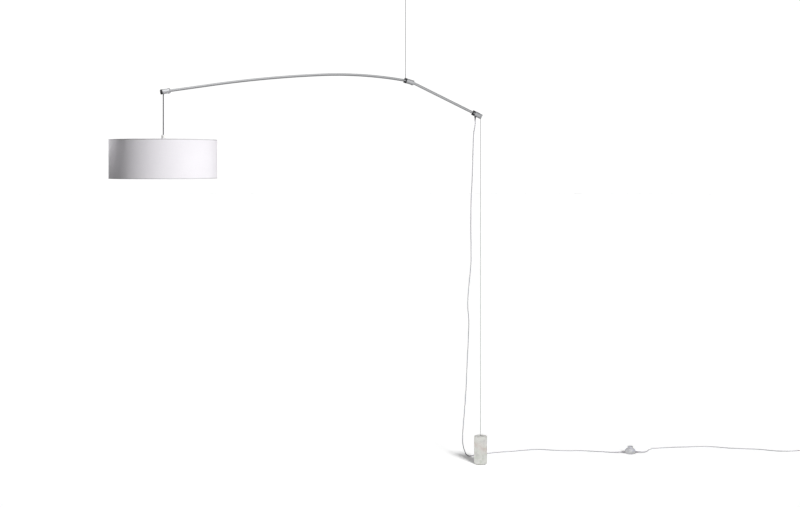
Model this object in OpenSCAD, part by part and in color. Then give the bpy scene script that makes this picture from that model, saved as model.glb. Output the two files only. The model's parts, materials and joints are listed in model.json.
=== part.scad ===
// Balance-arm lamp: an arm on a ceiling cable carries a drum shade on its long side and is held
// level by a stone on its short side. The origin is on the ceiling, X runs along the arm.

/* [Room] */
// Height of the ceiling above the floor
ceiling_h = 2650; // [2600:5:2700]
// Height of the pivot pin above the floor
pivot_h = 2132; // [2100:1:2160]

/* [Ceiling fitting] */
// Diameter of the ceiling plate
plate_d = 64; // [54:1:90]
// Thickness of the ceiling plate
plate_t = 3; // [2:0.5:5]
// Distance between the two fixing holes
plate_hole_pitch = 44; // [36:1:46]
// Diameter of the fixing holes
plate_hole_d = 5; // [3.5:0.5:6]
// Diameter of the threaded stud under the plate
stud_d = 10; // [8:1:12]
// Length of that stud
stud_len = 8; // [6:1:10]
// Outer diameter of the cable cup
cup_d = 24; // [22:1:28]
// Length of the cable cup
cup_len = 36; // [32:1:44]
// Thickness of the cup's floor
cup_floor = 9; // [6:1:12]
// Diameter of the chamber inside the cup
chamber_d = 14; // [12:1:17]
// Thickness of the nylon bearing washer
bearing_t = 2; // [1:0.5:3]
// Diameter of the cable nipple that turns on the washer
nipple_d = 6; // [5:0.5:8]
// Length of the cable nipple
nipple_len = 7; // [5:1:9]

/* [Cables] */
// Diameter of the ceiling cable
ceiling_cable_d = 2.4; // [1.5:0.1:2.8]
// Diameter of the counterweight cable
stone_cable_d = 2; // [1.2:0.1:2.4]
// Diameter of the flex inside the arm
inner_flex_d = 5; // [4:0.5:6]
// Diameter of the pendant flex
pendant_flex_d = 6; // [5:0.5:7]
// Diameter of the mains flex on the floor
mains_flex_d = 5.5; // [5:0.5:6]

/* [Arm] */
// Outer diameter of the bowed rod
rod_d = 14; // [12:0.5:15]
// Wall of the rod and the tube
arm_wall = 1; // [0.8:0.1:1.5]
// Fall of the rod at the pivot, in degrees
rod_fall = 9.5; // [8:0.1:11]
// Length of the strongly bowed stretch next to the pivot
bow_near_len = 450; // [400:5:500]
// Bend of that stretch, in degrees
bow_near_turn = 12; // [10:0.1:13]
// Length of the gently bowed stretch
bow_far_len = 600; // [550:5:650]
// Bend of the gently bowed stretch, in degrees
bow_far_turn = 5.5; // [4:0.1:6]
// Length of the straight stretch at the shade end
rod_tail_len = 260; // [220:5:300]
// Outer diameter of the right tube
tube_d = 14.5; // [13:0.5:15.5]
// Fall of the right tube, in degrees
tube_fall = 26.5; // [24:0.5:29]
// Length from the pivot nose to the counterweight cable
tube_reach = 417.3; // [380:0.5:450]

/* [Sleeves] */
// Outer diameter of the chrome sleeves
sleeve_d = 27; // [25:0.5:30]
// Wall of the chrome sleeves
sleeve_wall = 1.5; // [1.2:0.1:2]
// Outer diameter of the black rings
ring_d = 28.4; // [27:0.2:32]
// Length of the black rings
ring_len = 17; // [14:0.5:20]
// Length of the spigots that seat in the sleeves
spigot_len = 8; // [6:0.5:10]
// Length of the pivot sleeve
pivot_sleeve_len = 37; // [34:1:44]
// Fall of the pivot sleeve, in degrees
pivot_fall = 17; // [15:0.5:19]
// Diameter of the pivot pin
pivot_pin_d = 3; // [2.5:0.5:3.5]
// Height of the pivot pin above the rod's axis
pivot_rise = 10.5; // [10.5:0.1:11]
// Width of the cable eye
eye_w = 4; // [3:0.5:6]
// Diameter of the set screws' shanks
screw_d = 3; // [2.5:0.5:4]
// Diameter of the screw heads
screw_head_d = 5; // [4.5:0.5:7]
// Height of the screw heads
screw_head_h = 2; // [1.5:0.25:3]

/* [Pendant] */
// Length of the pendant flex between the arm and the cord grip
pendant_len = 230; // [200:1:260]
// Diameter of the cord grip
grip_d = 21; // [18:1:24]
// Height of the cord grip above the shade
grip_rise = 27; // [20:1:35]
// Diameter of the lampholder's cap
holder_cap_d = 46; // [44:1:52]
// Diameter of the lampholder's skirt
skirt_d = 39.5; // [38:0.5:41]
// Length of the lampholder's skirt
skirt_len = 48; // [42:1:56]
// Diameter of the opal bulb
bulb_d = 60; // [50:1:80]

/* [Shade] */
// Outer diameter of the shade
shade_d = 590; // [500:5:700]
// Height of the shade
shade_h = 215; // [180:5:260]
// Thickness of the fabric laminate
laminate_t = 1; // [0.8:0.1:1.5]
// Height of the hem tapes
hem_h = 5; // [3:0.5:10]
// Thickness of the hem tapes
hem_t = 0.4; // [0.3:0.1:0.8]
// Diameter of the ring and spider wire
wire_d = 2.2; // [2:0.2:3.2]

/* [Counterweight] */
// Diameter of the stone
stone_d = 72; // [60:1:80]
// Height of the stone
stone_len = 151; // [130:1:170]
// Bevel on the stone's edges
stone_bevel = 1; // [0.5:0.5:2]
// Thickness of the felt pad
felt_t = 2; // [1.5:0.5:3]
// Diameter of the hole through the stone
stone_bore_d = 6; // [5:0.5:8]

/* [Foot switch] */
// Diameter of the foot switch
switch_d = 60; // [54:1:70]
// Height of the cover's shoulder above the floor
switch_shoulder_h = 30; // [28:1:36]
// Diameter of the button
button_d = 30; // [26:1:34]
// Height of the button above the floor
button_top_h = 42; // [39:1:46]
// Travel of the button
button_travel = 3; // [2:0.5:3]
// Wall of the cover
cover_wall = 2; // [1.6:0.2:3]

/* [Plug] */
// Width of the plug
plug_w = 35; // [34:1:37]
// Thickness of the plug
plug_t = 14; // [13:0.5:16]
// Length of the plug's body
plug_len = 36; // [32:1:42]
// Diameter of the plug's pins
plug_pin_d = 4; // [4:0.1:4.8]

/* [Hidden] */

$fn = 64;
fit = 0.02;       // radial clearance of pressed and screwed fits
running = 0.05;   // radial clearance of turning and sliding fits
cable_gap = 0.2;  // around a cable that passes through a hole
cut = 1;          // how far a cut runs past the face it opens

sleeve_r = sleeve_d / 2;
bore_r = sleeve_r - sleeve_wall;
spigot_r = bore_r - fit;
ring_r = ring_d / 2;
rod_r = rod_d / 2;
tube_r = tube_d / 2;
black = [0.05, 0.05, 0.05];
chrome = [0.75, 0.76, 0.78];
steel = [0.6, 0.6, 0.62];
pale_flex = [0.86, 0.86, 0.9];
opal = [0.95, 0.95, 0.95];

// Heights, measured down from the ceiling
function up(h) = h - ceiling_h;
pin_z = up(pivot_h);

// A pose on the arm is [x, z, fall]: fall is the slope in degrees, down towards +X.
root = [0, pin_z - pivot_rise, rod_fall];
function radius_of(len, turn) = len * 180 / (turn * PI);
function along(p, d, fall) = [p[0] + d * cos(fall), p[1] - d * sin(fall), fall];
function bend_end(p, len, turn) = let (r = radius_of(len, turn), b = p[2] - turn)
    [p[0] - r * (sin(p[2]) - sin(b)), p[1] + r * (cos(b) - cos(p[2])), b];

rod_lead = 25;      // straight rod left of the pivot
rod_stub = 24;      // straight rod right of the pivot
bow_a = along(root, -rod_lead, rod_fall);
bow_b = bend_end(bow_a, bow_near_len, bow_near_turn);
bow_c = bend_end(bow_b, bow_far_len, bow_far_turn);
rod_end = along(bow_c, -rod_tail_len, bow_c[2]);

// The rod's centre line, from its stub at the pivot to its far end
function on_plane(p) = [p[0], 0, p[1]];
function bend_points(p, len, turn, steps) = [for (i = [1:steps])
    on_plane(bend_end(p, len * i / steps, turn * i / steps))];
rod_line = concat([on_plane(along(root, rod_stub, rod_fall)), on_plane(bow_a)],
    bend_points(bow_a, bow_near_len, bow_near_turn, 12),
    bend_points(bow_b, bow_far_len, bow_far_turn, 8), [on_plane(rod_end)]);

// Left end: the trunnion lies a short way beyond the rod's end
rod_end_gap = 14;
left_axis = along(rod_end, -rod_end_gap, rod_end[2]);

// Pivot sleeve: its axis runs through the root, and the tube leaves at its nose
collar_half = ring_len / 2;
nose_at = collar_half + pivot_sleeve_len;
nose_depth = 12;
nose_len = 3;
nose = along(root, nose_at - nose_len / 2, pivot_fall);
tube_axis = [nose[0], nose[1], tube_fall];

// Right end: the cable barrel is tube_reach along the tube
right_axis = along(tube_axis, tube_reach, tube_fall);
barrel_to_end = 6;       // from the barrel's axis to the sleeve's open end
right_sleeve_len = 40;
right_ring_at = barrel_to_end - right_sleeve_len;
tube_stop = -9;          // the tube's end, from the barrel's axis
gland_at = -33;          // where the gland's axis meets the tube's, from the barrel

// Ceiling fitting, from the ceiling down
stud_end = -plate_t - stud_len;
cup_end = -plate_t - cup_len;
cup_floor_z = cup_end + cup_floor;
bearing_top = cup_floor_z + bearing_t;

// Cable eye on the pivot pin
eye_r = 3;
eye_neck_r = 1.9;
eye_neck_len = 22;
eye_seat = 7;            // the cable's end above the pin

// Pendant, from the trunnion down
pend_x = left_axis[0];
pend_z = left_axis[1];
trunnion_r = 7;
trunnion_half = 7;
stub_r = 2.5;
stub_inset = 0.1;        // stubs and barrels end this far inside the skin
swing_pin_r = 1.2;
swing_pin_half = 6.3;
ferrule_r = 3;
ferrule_top = 3;
ferrule_gap = 0.1;
ferrule_room = 5;        // half the trunnion's slot, for the swing
ferrule_bottom = -9;
core_r = 1.5;            // stripped end of the flex inside the ferrule
core_len = 5;
grip_top = pend_z + ferrule_bottom - pendant_len;
rim_z = grip_top - grip_rise;
grip_bottom = rim_z - 3;
grip_seat = 16;          // how deep the flex goes into the grip
cap_h = 24;
washer_z = grip_bottom - cap_h;
washer_t = 1.5;
washer_r = 30;
nut_h = 8;
nut_r = 26;
skirt_r = skirt_d / 2;
skirt_top = washer_z + 6;
skirt_bottom = skirt_top - skirt_len;
holder_wall = 2;
shell_wall = 0.5;
shell_len = 24;
shell_top = skirt_bottom + shell_len + 3;
bulb_cap_r = 13.2;
shell_r = bulb_cap_r + fit + shell_wall;
bulb_cap_len = 26;
bulb_top = shell_top - 4;
bulb_neck_z = bulb_top - bulb_cap_len;
glass_wall = 1;
bulb_cap_wall = 0.8;
bulb_drop = 52;          // from the neck down to the glass ball's centre
bulb_shoulder = 18;      // from the neck down to the shoulder
bulb_shoulder_r = 17.7;
web_t = 6;
contact_r = 2.5;
contact_head_h = 2;
wire_hole_r = 4;
grip_wire_r = 2;
shell_hole_r = 7;

// Shade
shade_r = shade_d / 2;
panel_r = shade_r - hem_t;
wire_r = wire_d / 2;
hoop_r = panel_r - laminate_t - wire_r - running;
foot_z = rim_z - shade_h;

// Counterweight
stone_x = right_axis[0];
floor_z = -ceiling_h;
stone_z = floor_z + felt_t;
stone_top = stone_z + stone_len;
barrel_r = 3;
anchor_bore_r = 12;
anchor_depth = 10;
washer_h = 2;
crimp_h = 6;
crimp_r = 3;
ferrule_flange_r = 5;
ferrule_flange_h = 1.5;
ferrule_depth = 12;
felt_inset = 3;

// Foot switch
switch_pos = [1290, 226];
pad_h = 1.2;
pad_r = 4;
pad_at = 21;
base_top = 7;
lip_h = 3;
switch_r = switch_d / 2;
button_r = button_d / 2;
gland_z = 8.5;
relief_len = 24;
relief_spigot_r = 3.6;
relief_depth = 4;
relief_flange_r = 5;
relief_flange_h = 1.5;
relief_root_r = 4.5;
block_top = 14;
block_len = 24;
block_w = 16;
skirt_gap = 3;           // left under the pressed button
button_skirt_z = block_top + button_travel + skirt_gap;
button_wall = 3;
button_boss_r = 6;
spring_room = 7;
button_boss_z = button_skirt_z + spring_room;

// Coil and plug, at the end of the outgoing flex
coil_pos = [2356, 330];
coil_mid_r = 30.5;
coil_half_w = 8.4;
coil_h = 11.2;
coil_lift = 0.9;
tie_t = 0.8;
tie_w = 8;
tie_gap = 0.5;
plug_pos = [2392, 364];  // where the plug's tapered relief begins
plug_tail_len = 14;      // flex between the coil and that relief
plug_relief_len = 22;
plug_relief_r = 5;
plug_slope = 5;          // how far the plug's flat sides lean in
pin_gap = 18.6;
pin_len = 19;

// Routes of the mains flex: [x, y, height above the floor], in order from the lamp
flex_h = mains_flex_d / 2;
hanging_route = [[386, 0, 1894], [386, 0, 1884], [379, 4, 1835], [376, 10, 1770],
    [371, 21, 1580], [366, 28, 1470], [364, 37, 1330], [366, 46, 1190],
    [366, 51, 1110], [360, 56, 1030], [351, 61, 935], [349, 66, 865], [355, 71, 780],
    [353, 77, 690], [346, 87, 520], [339, 97, 360], [330, 106, 235], [324, 114, 150],
    [323, 122, 98], [327, 128, 66], [335, 136, 36], [347, 144, 13], [366, 156, flex_h],
    [392, 176, flex_h], [428, 200, flex_h], [478, 219, flex_h], [530, 240, flex_h],
    [610, 261, flex_h], [690, 289, flex_h], [740, 305, flex_h], [785, 307, flex_h],
    [830, 297, flex_h], [897, 281, flex_h], [950, 276, flex_h], [1002, 281, flex_h],
    [1069, 268, flex_h], [1120, 257, flex_h], [1165, 246, flex_h], [1190, 237, 4],
    [1211, 230, 6.4], [1223, 227, 7.8], [1232, 226, gland_z], [1236, 226, gland_z]];
outgoing_route = [[1344, 226, gland_z], [1349, 226, gland_z], [1361, 228.5, 7.5],
    [1373, 235, 6.2], [1384, 246, 4.9], [1394, 261, 3.8], [1403, 279, 3],
    [1412, 298, flex_h], [1423, 313, flex_h], [1438, 325, flex_h], [1465, 336, flex_h],
    [1539, 354, flex_h],
    [1612, 364, flex_h], [1683, 370, flex_h], [1757, 379, flex_h], [1790, 375, flex_h],
    [1822, 365, flex_h], [1885, 341, flex_h], [1951, 326, flex_h], [2019, 318, flex_h],
    [2083, 300, flex_h], [2141, 273, flex_h], [2200, 266, flex_h], [2255, 276, flex_h],
    [2300, 289, flex_h], [2322, 293, 3.1], [2342, 293.9, flex_h + coil_lift]];

function pick(p, i) = p[max(0, min(len(p) - 1, i))];
function unit(v) = v / norm(v);
function tangent(p, i) = unit(pick(p, i + 1) - pick(p, i - 1));
function side_of(t) = unit(cross(t, abs(t[2]) > 0.8 ? [0, 1, 0] : [0, 0, 1]));
// Sideways direction carried along the route, so that the tube doesn't twist
function carry(s, t) = unit(s - (s * t) * t);
function sides_along(p, i, s) = i == len(p) ? [] :
    let (n = carry(s, tangent(p, i))) concat([n], sides_along(p, i + 1, n));

// Rings of points round the route, and the walls between them
function ring_points(p, r, sides) = let (s = sides_along(p, 0, side_of(tangent(p, 0))))
    [for (i = [0:len(p) - 1]) let (u = s[i], v = cross(tangent(p, i), u))
        for (k = [0:sides - 1]) p[i] + r * (cos(360 * k / sides) * u + sin(360 * k / sides) * v)];
function wall_faces(rings, sides) = [for (i = [0:rings - 2]) for (k = [0:sides - 1])
    let (n = (k + 1) % sides, a = i * sides, b = a + sides) [a + k, b + k, b + n, a + n]];

module sweep_tube(p, r, sides) {
    last = (len(p) - 1) * sides;
    polyhedron(ring_points(p, r, sides), concat([[for (k = [0:sides - 1]) k]],
        wall_faces(len(p), sides), [[for (k = [sides - 1:-1:0]) last + k]]), convexity = 10);
}

// The same with a bore: inner rings follow the outer ones in the list of points
module sweep_pipe(p, r_out, r_in, sides) {
    last = (len(p) - 1) * sides;
    inner = len(p) * sides;
    start_face = [for (k = [0:sides - 1]) let (n = (k + 1) % sides)
        [k, n, inner + n, inner + k]];
    end_face = [for (k = [0:sides - 1]) let (n = (k + 1) % sides)
        [last + n, last + k, last + inner + k, last + inner + n]];
    bore_faces = [for (f = wall_faces(len(p), sides)) [for (k = [3:-1:0]) f[k] + inner]];
    polyhedron(concat(ring_points(p, r_out, sides), ring_points(p, r_in, sides)),
        concat(start_face, wall_faces(len(p), sides), bore_faces, end_face), convexity = 10);
}

// Gland: a plumb line from the tube's axis down through the sleeve
gland_point = along(right_axis, gland_at, tube_fall);
gland_skin = sleeve_r / cos(tube_fall);
gland_spigot_r = 3.6;
gland_r = 5;
gland_len = 6;
gland_depth = 4;
gland_mouth = gland_skin + gland_len;
arm_relief_len = 22;
arm_relief_r = 4;
relief_lip = 0.5;        // wall of a relief's tip around the flex

// Places children on that plumb line, with +Z pointing down
module gland_frame() {
    translate([gland_point[0], 0, gland_point[1]]) rotate([180, 0, 0]) children();
}

module gland_hole() {
    gland_frame() rod_z(0, 2 * sleeve_r, gland_spigot_r + fit);
}

// Places children at a pose on the arm, with their +X along its fall
module at_pose(p) {
    translate([p[0], 0, p[1]]) rotate([0, p[2], 0]) children();
}

// Cylinder along X from x = a to x = b
module rod_x(a, b, r) {
    translate([a, 0, 0]) rotate([0, 90, 0]) cylinder(r = r, h = b - a);
}

// Cylinder along Y, centred
module rod_y(half, r) {
    rotate([90, 0, 0]) cylinder(r = r, h = 2 * half, center = true);
}

module rod_z(a, b, r) {
    translate([0, 0, a]) cylinder(r = r, h = b - a);
}

module pipe_x(a, b, r_out, r_in) {
    difference() {
        rod_x(a, b, r_out);
        rod_x(a - cut, b + cut, r_in);
    }
}

// Set screw on the +Z side: the shank stands on seat, the head on the sleeve's skin
module set_screw(x, seat) {
    translate([x, 0, 0]) {
        rod_z(seat, sleeve_r, screw_d / 2);
        difference() {
            rod_z(sleeve_r, sleeve_r + screw_head_h, screw_head_d / 2);
            rod_z(sleeve_r + screw_head_h / 2, sleeve_r + screw_head_h + cut, screw_d / 3);
        }
    }
}

module screw_hole(x) {
    translate([x, 0, 0]) rod_z(0, sleeve_r + cut, screw_d / 2 + fit);
}

// ---- ceiling fitting ----
module ceiling_plate() {
    color(chrome) difference() {
        union() {
            rod_z(-plate_t, 0, plate_d / 2);
            rod_z(stud_end, 0, stud_d / 2);
        }
        for (side = [-1, 1]) translate([side * plate_hole_pitch / 2, 0, 0])
            rod_z(-plate_t - cut, cut, plate_hole_d / 2);
    }
}

module ceiling_cup() {
    color(chrome) difference() {
        rod_z(cup_end, -plate_t, cup_d / 2);
        rod_z(stud_end - cut, -plate_t + cut, stud_d / 2 + fit);
        rod_z(cup_floor_z, stud_end, chamber_d / 2);
        rod_z(cup_end - cut, cup_floor_z + cut, ceiling_cable_d / 2 + cable_gap);
    }
}

module bearing_washer() {
    color(opal) difference() {
        rod_z(cup_floor_z, bearing_top, chamber_d / 2 - fit);
        rod_z(cup_floor_z - cut, bearing_top + cut, ceiling_cable_d / 2 + running);
    }
}

module cable_nipple() {
    color(steel) difference() {
        rod_z(bearing_top, bearing_top + nipple_len, nipple_d / 2);
        rod_z(bearing_top - cut, bearing_top + nipple_len + cut, ceiling_cable_d / 2 + fit);
    }
}

module ceiling_cable() {
    color(steel) rod_z(pin_z + eye_seat, bearing_top + nipple_len, ceiling_cable_d / 2);
}

module cable_eye() {
    color(steel) translate([0, 0, pin_z]) difference() {
        union() {
            rod_y(eye_w / 2, eye_r);
            rod_z(0, eye_neck_len, eye_neck_r);
        }
        rod_y(eye_w, pivot_pin_d / 2 + running);
        rod_z(eye_seat, eye_neck_len + cut, ceiling_cable_d / 2 + fit);
    }
}

// ---- pivot ----
pivot_pin_half = 9.5;
eye_slot_half = 6;
eye_gap = 0.3;

module pivot_pin() {
    color(steel) translate([0, 0, pin_z]) rod_y(pivot_pin_half, pivot_pin_d / 2);
}

module rod_bore() {
    at_pose(root) rod_x(-2 * ring_len, 2 * ring_len, rod_r + fit);
}

module pivot_collar() {
    color(black) difference() {
        at_pose(pivot_axis) {
            rod_x(-collar_half, collar_half, ring_r);
            rod_x(0, collar_half + spigot_len, spigot_r);
        }
        rod_bore();
        translate([0, 0, pin_z]) rod_y(ring_r + cut, pivot_pin_d / 2 + fit);
        translate([-eye_slot_half, -eye_w / 2 - eye_gap, root[1] + rod_r / 2])
            cube([2 * eye_slot_half, eye_w + 2 * eye_gap, 2 * ring_r]);
    }
}

pivot_screw_at = 38;
pivot_axis = [root[0], root[1], pivot_fall];

module pivot_sleeve() {
    color(chrome) at_pose(pivot_axis) difference() {
        pipe_x(collar_half, nose_at, sleeve_r, bore_r);
        rotate([180, 0, 0]) screw_hole(pivot_screw_at);
    }
}

module tube_bore() {
    at_pose(tube_axis) rod_x(-2 * ring_len, 2 * ring_len, tube_r + fit);
}

module pivot_nose() {
    color(chrome) difference() {
        at_pose(pivot_axis) {
            rod_x(nose_at - nose_depth, nose_at + nose_len, spigot_r);
            rod_x(nose_at, nose_at + nose_len, sleeve_r);
        }
        tube_bore();
        at_pose(pivot_axis) rotate([180, 0, 0]) screw_hole(pivot_screw_at);
    }
}

module pivot_screw() {
    color(steel) difference() {
        at_pose(pivot_axis) rotate([180, 0, 0]) set_screw(pivot_screw_at, 0);
        tube_bore();
    }
}

// ---- arm ----
module bowed_rod() {
    color(steel) sweep_pipe(rod_line, rod_r, rod_r - arm_wall, 32);
}

tube_start = -12;        // the tube's inner end, from the nose

module right_tube() {
    color(steel) difference() {
        at_pose(tube_axis) pipe_x(tube_start, tube_reach + tube_stop, tube_r, tube_r - arm_wall);
        gland_hole();
    }
}

// One flex from the gland through tube and pivot to the rod's far end
flex_corner = 4;         // how far the turn above the gland starts from its corner
flex_spare = 4;          // how far the flex stands out of the rod
inner_route = concat([[gland_point[0], 0, gland_point[1] - gland_skin],
    [gland_point[0], 0, gland_point[1] - flex_corner],
    on_plane(along(gland_point, -flex_corner, tube_fall)),
    on_plane(along(tube_axis, tube_start, tube_fall))], rod_line,
    [on_plane(along(rod_end, -flex_spare, rod_end[2]))]);

module inner_flex() {
    color(opal) sweep_tube(inner_route, inner_flex_d / 2, 10);
}

// ---- left end ----
left_sleeve_from = -13;
left_sleeve_to = 33;
left_screw_at = 28;
left_bush_len = 13;
left_flange_h = 4;
skirt_to = -2.6;
cap_wall = 2.5;
cap_skirt = 0.6;

// Slot under the left sleeve, wide enough for every lean and swing of the flex
flex_slot_from = -11;
flex_slot_to = 3;
flex_slot_gap = 2.2;     // on each side of the flex, for its swing
flex_slot_top = -7;

module flex_slot() {
    half = pendant_flex_d / 2 + flex_slot_gap;
    translate([flex_slot_from, -half, flex_slot_top - ring_r])
        cube([flex_slot_to - flex_slot_from, 2 * half, ring_r]);
}

module left_sleeve() {
    color(chrome) at_pose(left_axis) difference() {
        pipe_x(left_sleeve_from, left_sleeve_to, sleeve_r, bore_r);
        rod_y(ring_r, stub_r + running);
        flex_slot();
        screw_hole(left_screw_at);
        rotate([180, 0, 0]) screw_hole(left_screw_at);
    }
}

module left_end_cap() {
    color(black) at_pose(left_axis) difference() {
        rod_x(left_sleeve_from - cap_wall, skirt_to, sleeve_r + cap_skirt);
        rod_x(left_sleeve_from, skirt_to + cut, sleeve_r + fit);
        flex_slot();
    }
}

module left_bush() {
    color(chrome) at_pose(left_axis) difference() {
        union() {
            rod_x(left_sleeve_to - left_bush_len, left_sleeve_to + left_flange_h, spigot_r);
            rod_x(left_sleeve_to, left_sleeve_to + left_flange_h, ring_r);
        }
        rod_x(0, left_sleeve_to + left_flange_h + cut, rod_r + fit);
        screw_hole(left_screw_at);
        rotate([180, 0, 0]) screw_hole(left_screw_at);
    }
}

module left_screws() {
    color(steel) at_pose(left_axis) for (turn = [0, 180])
        rotate([turn, 0, 0]) set_screw(left_screw_at, rod_r + fit);
}

// ---- pendant ----
module pendant_trunnion() {
    color(steel) translate([pend_x, 0, pend_z]) difference() {
        union() {
            rod_y(trunnion_half, trunnion_r);
            rod_y(sleeve_r - stub_inset, stub_r);
        }
        translate([-ferrule_r - ferrule_gap, -ferrule_room, -trunnion_r - cut])
            cube([2 * (ferrule_r + ferrule_gap), 2 * ferrule_room,
                trunnion_r + 2 * cut + ferrule_top]);
        rod_x(-trunnion_r - cut, trunnion_r + cut, swing_pin_r + fit);
    }
}

module swing_pin() {
    color(steel) translate([pend_x, 0, pend_z])
        rod_x(-swing_pin_half, swing_pin_half, swing_pin_r);
}

module flex_ferrule() {
    color(steel) translate([pend_x, 0, pend_z]) difference() {
        rod_z(ferrule_bottom, ferrule_top, ferrule_r);
        rod_x(-ferrule_r - cut, ferrule_r + cut, swing_pin_r + running);
        rod_z(ferrule_bottom - cut, ferrule_bottom + core_len, core_r + fit);
    }
}

module pendant_flex() {
    color([0.5, 0.5, 0.5]) translate([pend_x, 0, 0]) {
        rod_z(grip_top - grip_seat, pend_z + ferrule_bottom, pendant_flex_d / 2);
        rod_z(grip_top, pend_z + ferrule_bottom + core_len, core_r);
    }
}

module cord_grip() {
    color(opal) translate([pend_x, 0, 0]) difference() {
        rod_z(grip_bottom, grip_top, grip_d / 2);
        rod_z(grip_top - grip_seat, grip_top + cut, pendant_flex_d / 2 + fit);
        rod_z(grip_bottom - cut, grip_top - grip_seat + cut, grip_wire_r);
    }
}

// Dome profile: a quarter of an ellipse that ends in a flat top as wide as the neck
function dome(neck, r, h) = concat([[0, 0]],
    [for (a = [0:10:90]) [neck + (r - neck) * cos(a), h * sin(a)]], [[0, h]]);

module holder_cap() {
    r = holder_cap_d / 2;
    neck = grip_d / 2 + 1;
    color(opal) translate([pend_x, 0, washer_z]) rotate_extrude() difference() {
        polygon(dome(neck, r, cap_h));
        polygon(dome(neck - holder_wall, r - holder_wall, cap_h - holder_wall));
        square([wire_hole_r, cap_h + cut]);
    }
}

module holder_skirt() {
    color(opal) translate([pend_x, 0, 0]) difference() {
        rod_z(skirt_bottom, skirt_top, skirt_r);
        rod_z(skirt_bottom - cut, shell_top, shell_r + fit);
        rod_z(shell_top + web_t, skirt_top + cut, skirt_r - holder_wall);
        rod_z(shell_top - cut, skirt_top, contact_r + fit);
    }
}

module thread_shell() {
    color([0.8, 0.65, 0.3]) translate([pend_x, 0, 0]) difference() {
        rod_z(shell_top - shell_len, shell_top, shell_r);
        rod_z(shell_top - shell_len - cut, shell_top - shell_wall, shell_r - shell_wall);
        rod_z(shell_top - cut, shell_top + cut, shell_hole_r);
    }
}

module centre_contact() {
    color([0.8, 0.65, 0.3]) translate([pend_x, 0, 0]) {
        rod_z(bulb_top, shell_top + web_t + contact_head_h, contact_r);
        rod_z(shell_top + web_t, shell_top + web_t + contact_head_h, 2 * contact_r);
    }
}

module shade_nut() {
    color(opal) translate([pend_x, 0, 0]) difference() {
        rod_z(washer_z - washer_t - nut_h, washer_z - washer_t, nut_r);
        rod_z(washer_z - washer_t - nut_h - cut, washer_z, skirt_r + fit);
    }
}

module bulb_cap() {
    color(chrome) translate([pend_x, 0, 0]) difference() {
        rod_z(bulb_neck_z, bulb_top, bulb_cap_r);
        rod_z(bulb_neck_z - cut, bulb_top - bulb_cap_wall, bulb_cap_r - bulb_cap_wall);
    }
}

// Bulb profile: a ball below a shoulder that narrows to the neck
function bulb_outline(inset) = let (r = bulb_d / 2 - inset) concat([[0, -bulb_drop - r]],
    [for (a = [-80:10:30]) [r * cos(a), r * sin(a) - bulb_drop]],
    [[bulb_shoulder_r - inset, -bulb_shoulder], [bulb_cap_r - inset, 0], [0, 0]]);

module bulb_glass() {
    color(opal) translate([pend_x, 0, bulb_neck_z]) rotate_extrude() difference() {
        polygon(bulb_outline(0));
        polygon(bulb_outline(glass_wall));
    }
}

// ---- shade ----
spider_arms = 3;
spider_turn = 90;        // the first arm's direction, in degrees from +X
spider_root = 3;         // how far the wires run into the washer

module shade_spider() {
    color(steel) translate([pend_x, 0, 0]) {
        difference() {
            rod_z(washer_z - washer_t, washer_z, washer_r);
            rod_z(washer_z - washer_t - cut, washer_z + cut, skirt_r + fit);
        }
        rise = rim_z - wire_r - hem_t - (washer_z - washer_t / 2);
        run = hoop_r - washer_r - wire_r - running + spider_root;
        for (k = [0:spider_arms - 1]) rotate([0, 0, spider_turn + k * 360 / spider_arms])
            translate([washer_r - spider_root, 0, washer_z - washer_t / 2])
                rotate([0, 90 - atan2(rise, run), 0]) cylinder(r = wire_r, h = norm([run, rise]));
    }
}

module hoop(z) {
    color(steel) translate([pend_x, 0, z]) rotate_extrude($fn = 180)
        translate([hoop_r, 0]) circle(r = wire_r, $fn = 24);
}

module shade_top_ring() {
    hoop(rim_z - hem_t - wire_r);
}

module shade_bottom_ring() {
    hoop(foot_z + hem_t + wire_r);
}

module shade_panel() {
    color("white") translate([pend_x, 0, 0]) difference() {
        translate([0, 0, foot_z + hem_t]) cylinder(r = panel_r, h = shade_h - 2 * hem_t, $fn = 180);
        translate([0, 0, foot_z]) cylinder(r = panel_r - laminate_t, h = shade_h, $fn = 180);
    }
}

// Tape folded over the rim: its lip covers the panel's edge
module hem() {
    rotate_extrude($fn = 180) {
        translate([panel_r, 0]) square([hem_t, hem_h]);
        translate([panel_r - laminate_t, 0]) square([laminate_t + hem_t, hem_t]);
    }
}

module top_hem() {
    color([0.92, 0.92, 0.95]) translate([pend_x, 0, rim_z]) mirror([0, 0, 1]) hem();
}

module bottom_hem() {
    color([0.92, 0.92, 0.95]) translate([pend_x, 0, foot_z]) hem();
}

// ---- right end ----
right_screw_at = [-28, -20, -12];
right_bush_end = -11;
end_plug_depth = 2;
end_plug_h = 1.2;

// Slot at the sleeve's open end that lets the plumb cable out
cable_slot_from = -1;
cable_slot_gap = 0.6;    // on each side of the cable
cable_slot_top = -5;

module cable_slot() {
    half = stone_cable_d / 2 + cable_slot_gap;
    translate([cable_slot_from, -half, cable_slot_top - 2 * ring_r])
        cube([barrel_to_end + ring_r, 2 * half, 2 * ring_r]);
}

// Black ring with the bush that fills the sleeve around the tube
module right_ring() {
    color(black) difference() {
        at_pose(right_axis) difference() {
            union() {
                rod_x(right_ring_at - ring_len, right_ring_at, ring_r);
                rod_x(right_ring_at - ring_len, right_bush_end, spigot_r);
            }
            rod_x(right_ring_at - 2 * ring_len, 0, tube_r + fit);
            for (x = right_screw_at) screw_hole(x);
        }
        gland_hole();
    }
}

module right_sleeve() {
    color(chrome) difference() {
        at_pose(right_axis) difference() {
            pipe_x(right_ring_at, barrel_to_end, sleeve_r, bore_r);
            rod_y(ring_r, barrel_r + running);
            for (x = right_screw_at) screw_hole(x);
            cable_slot();
        }
        gland_hole();
    }
}

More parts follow.
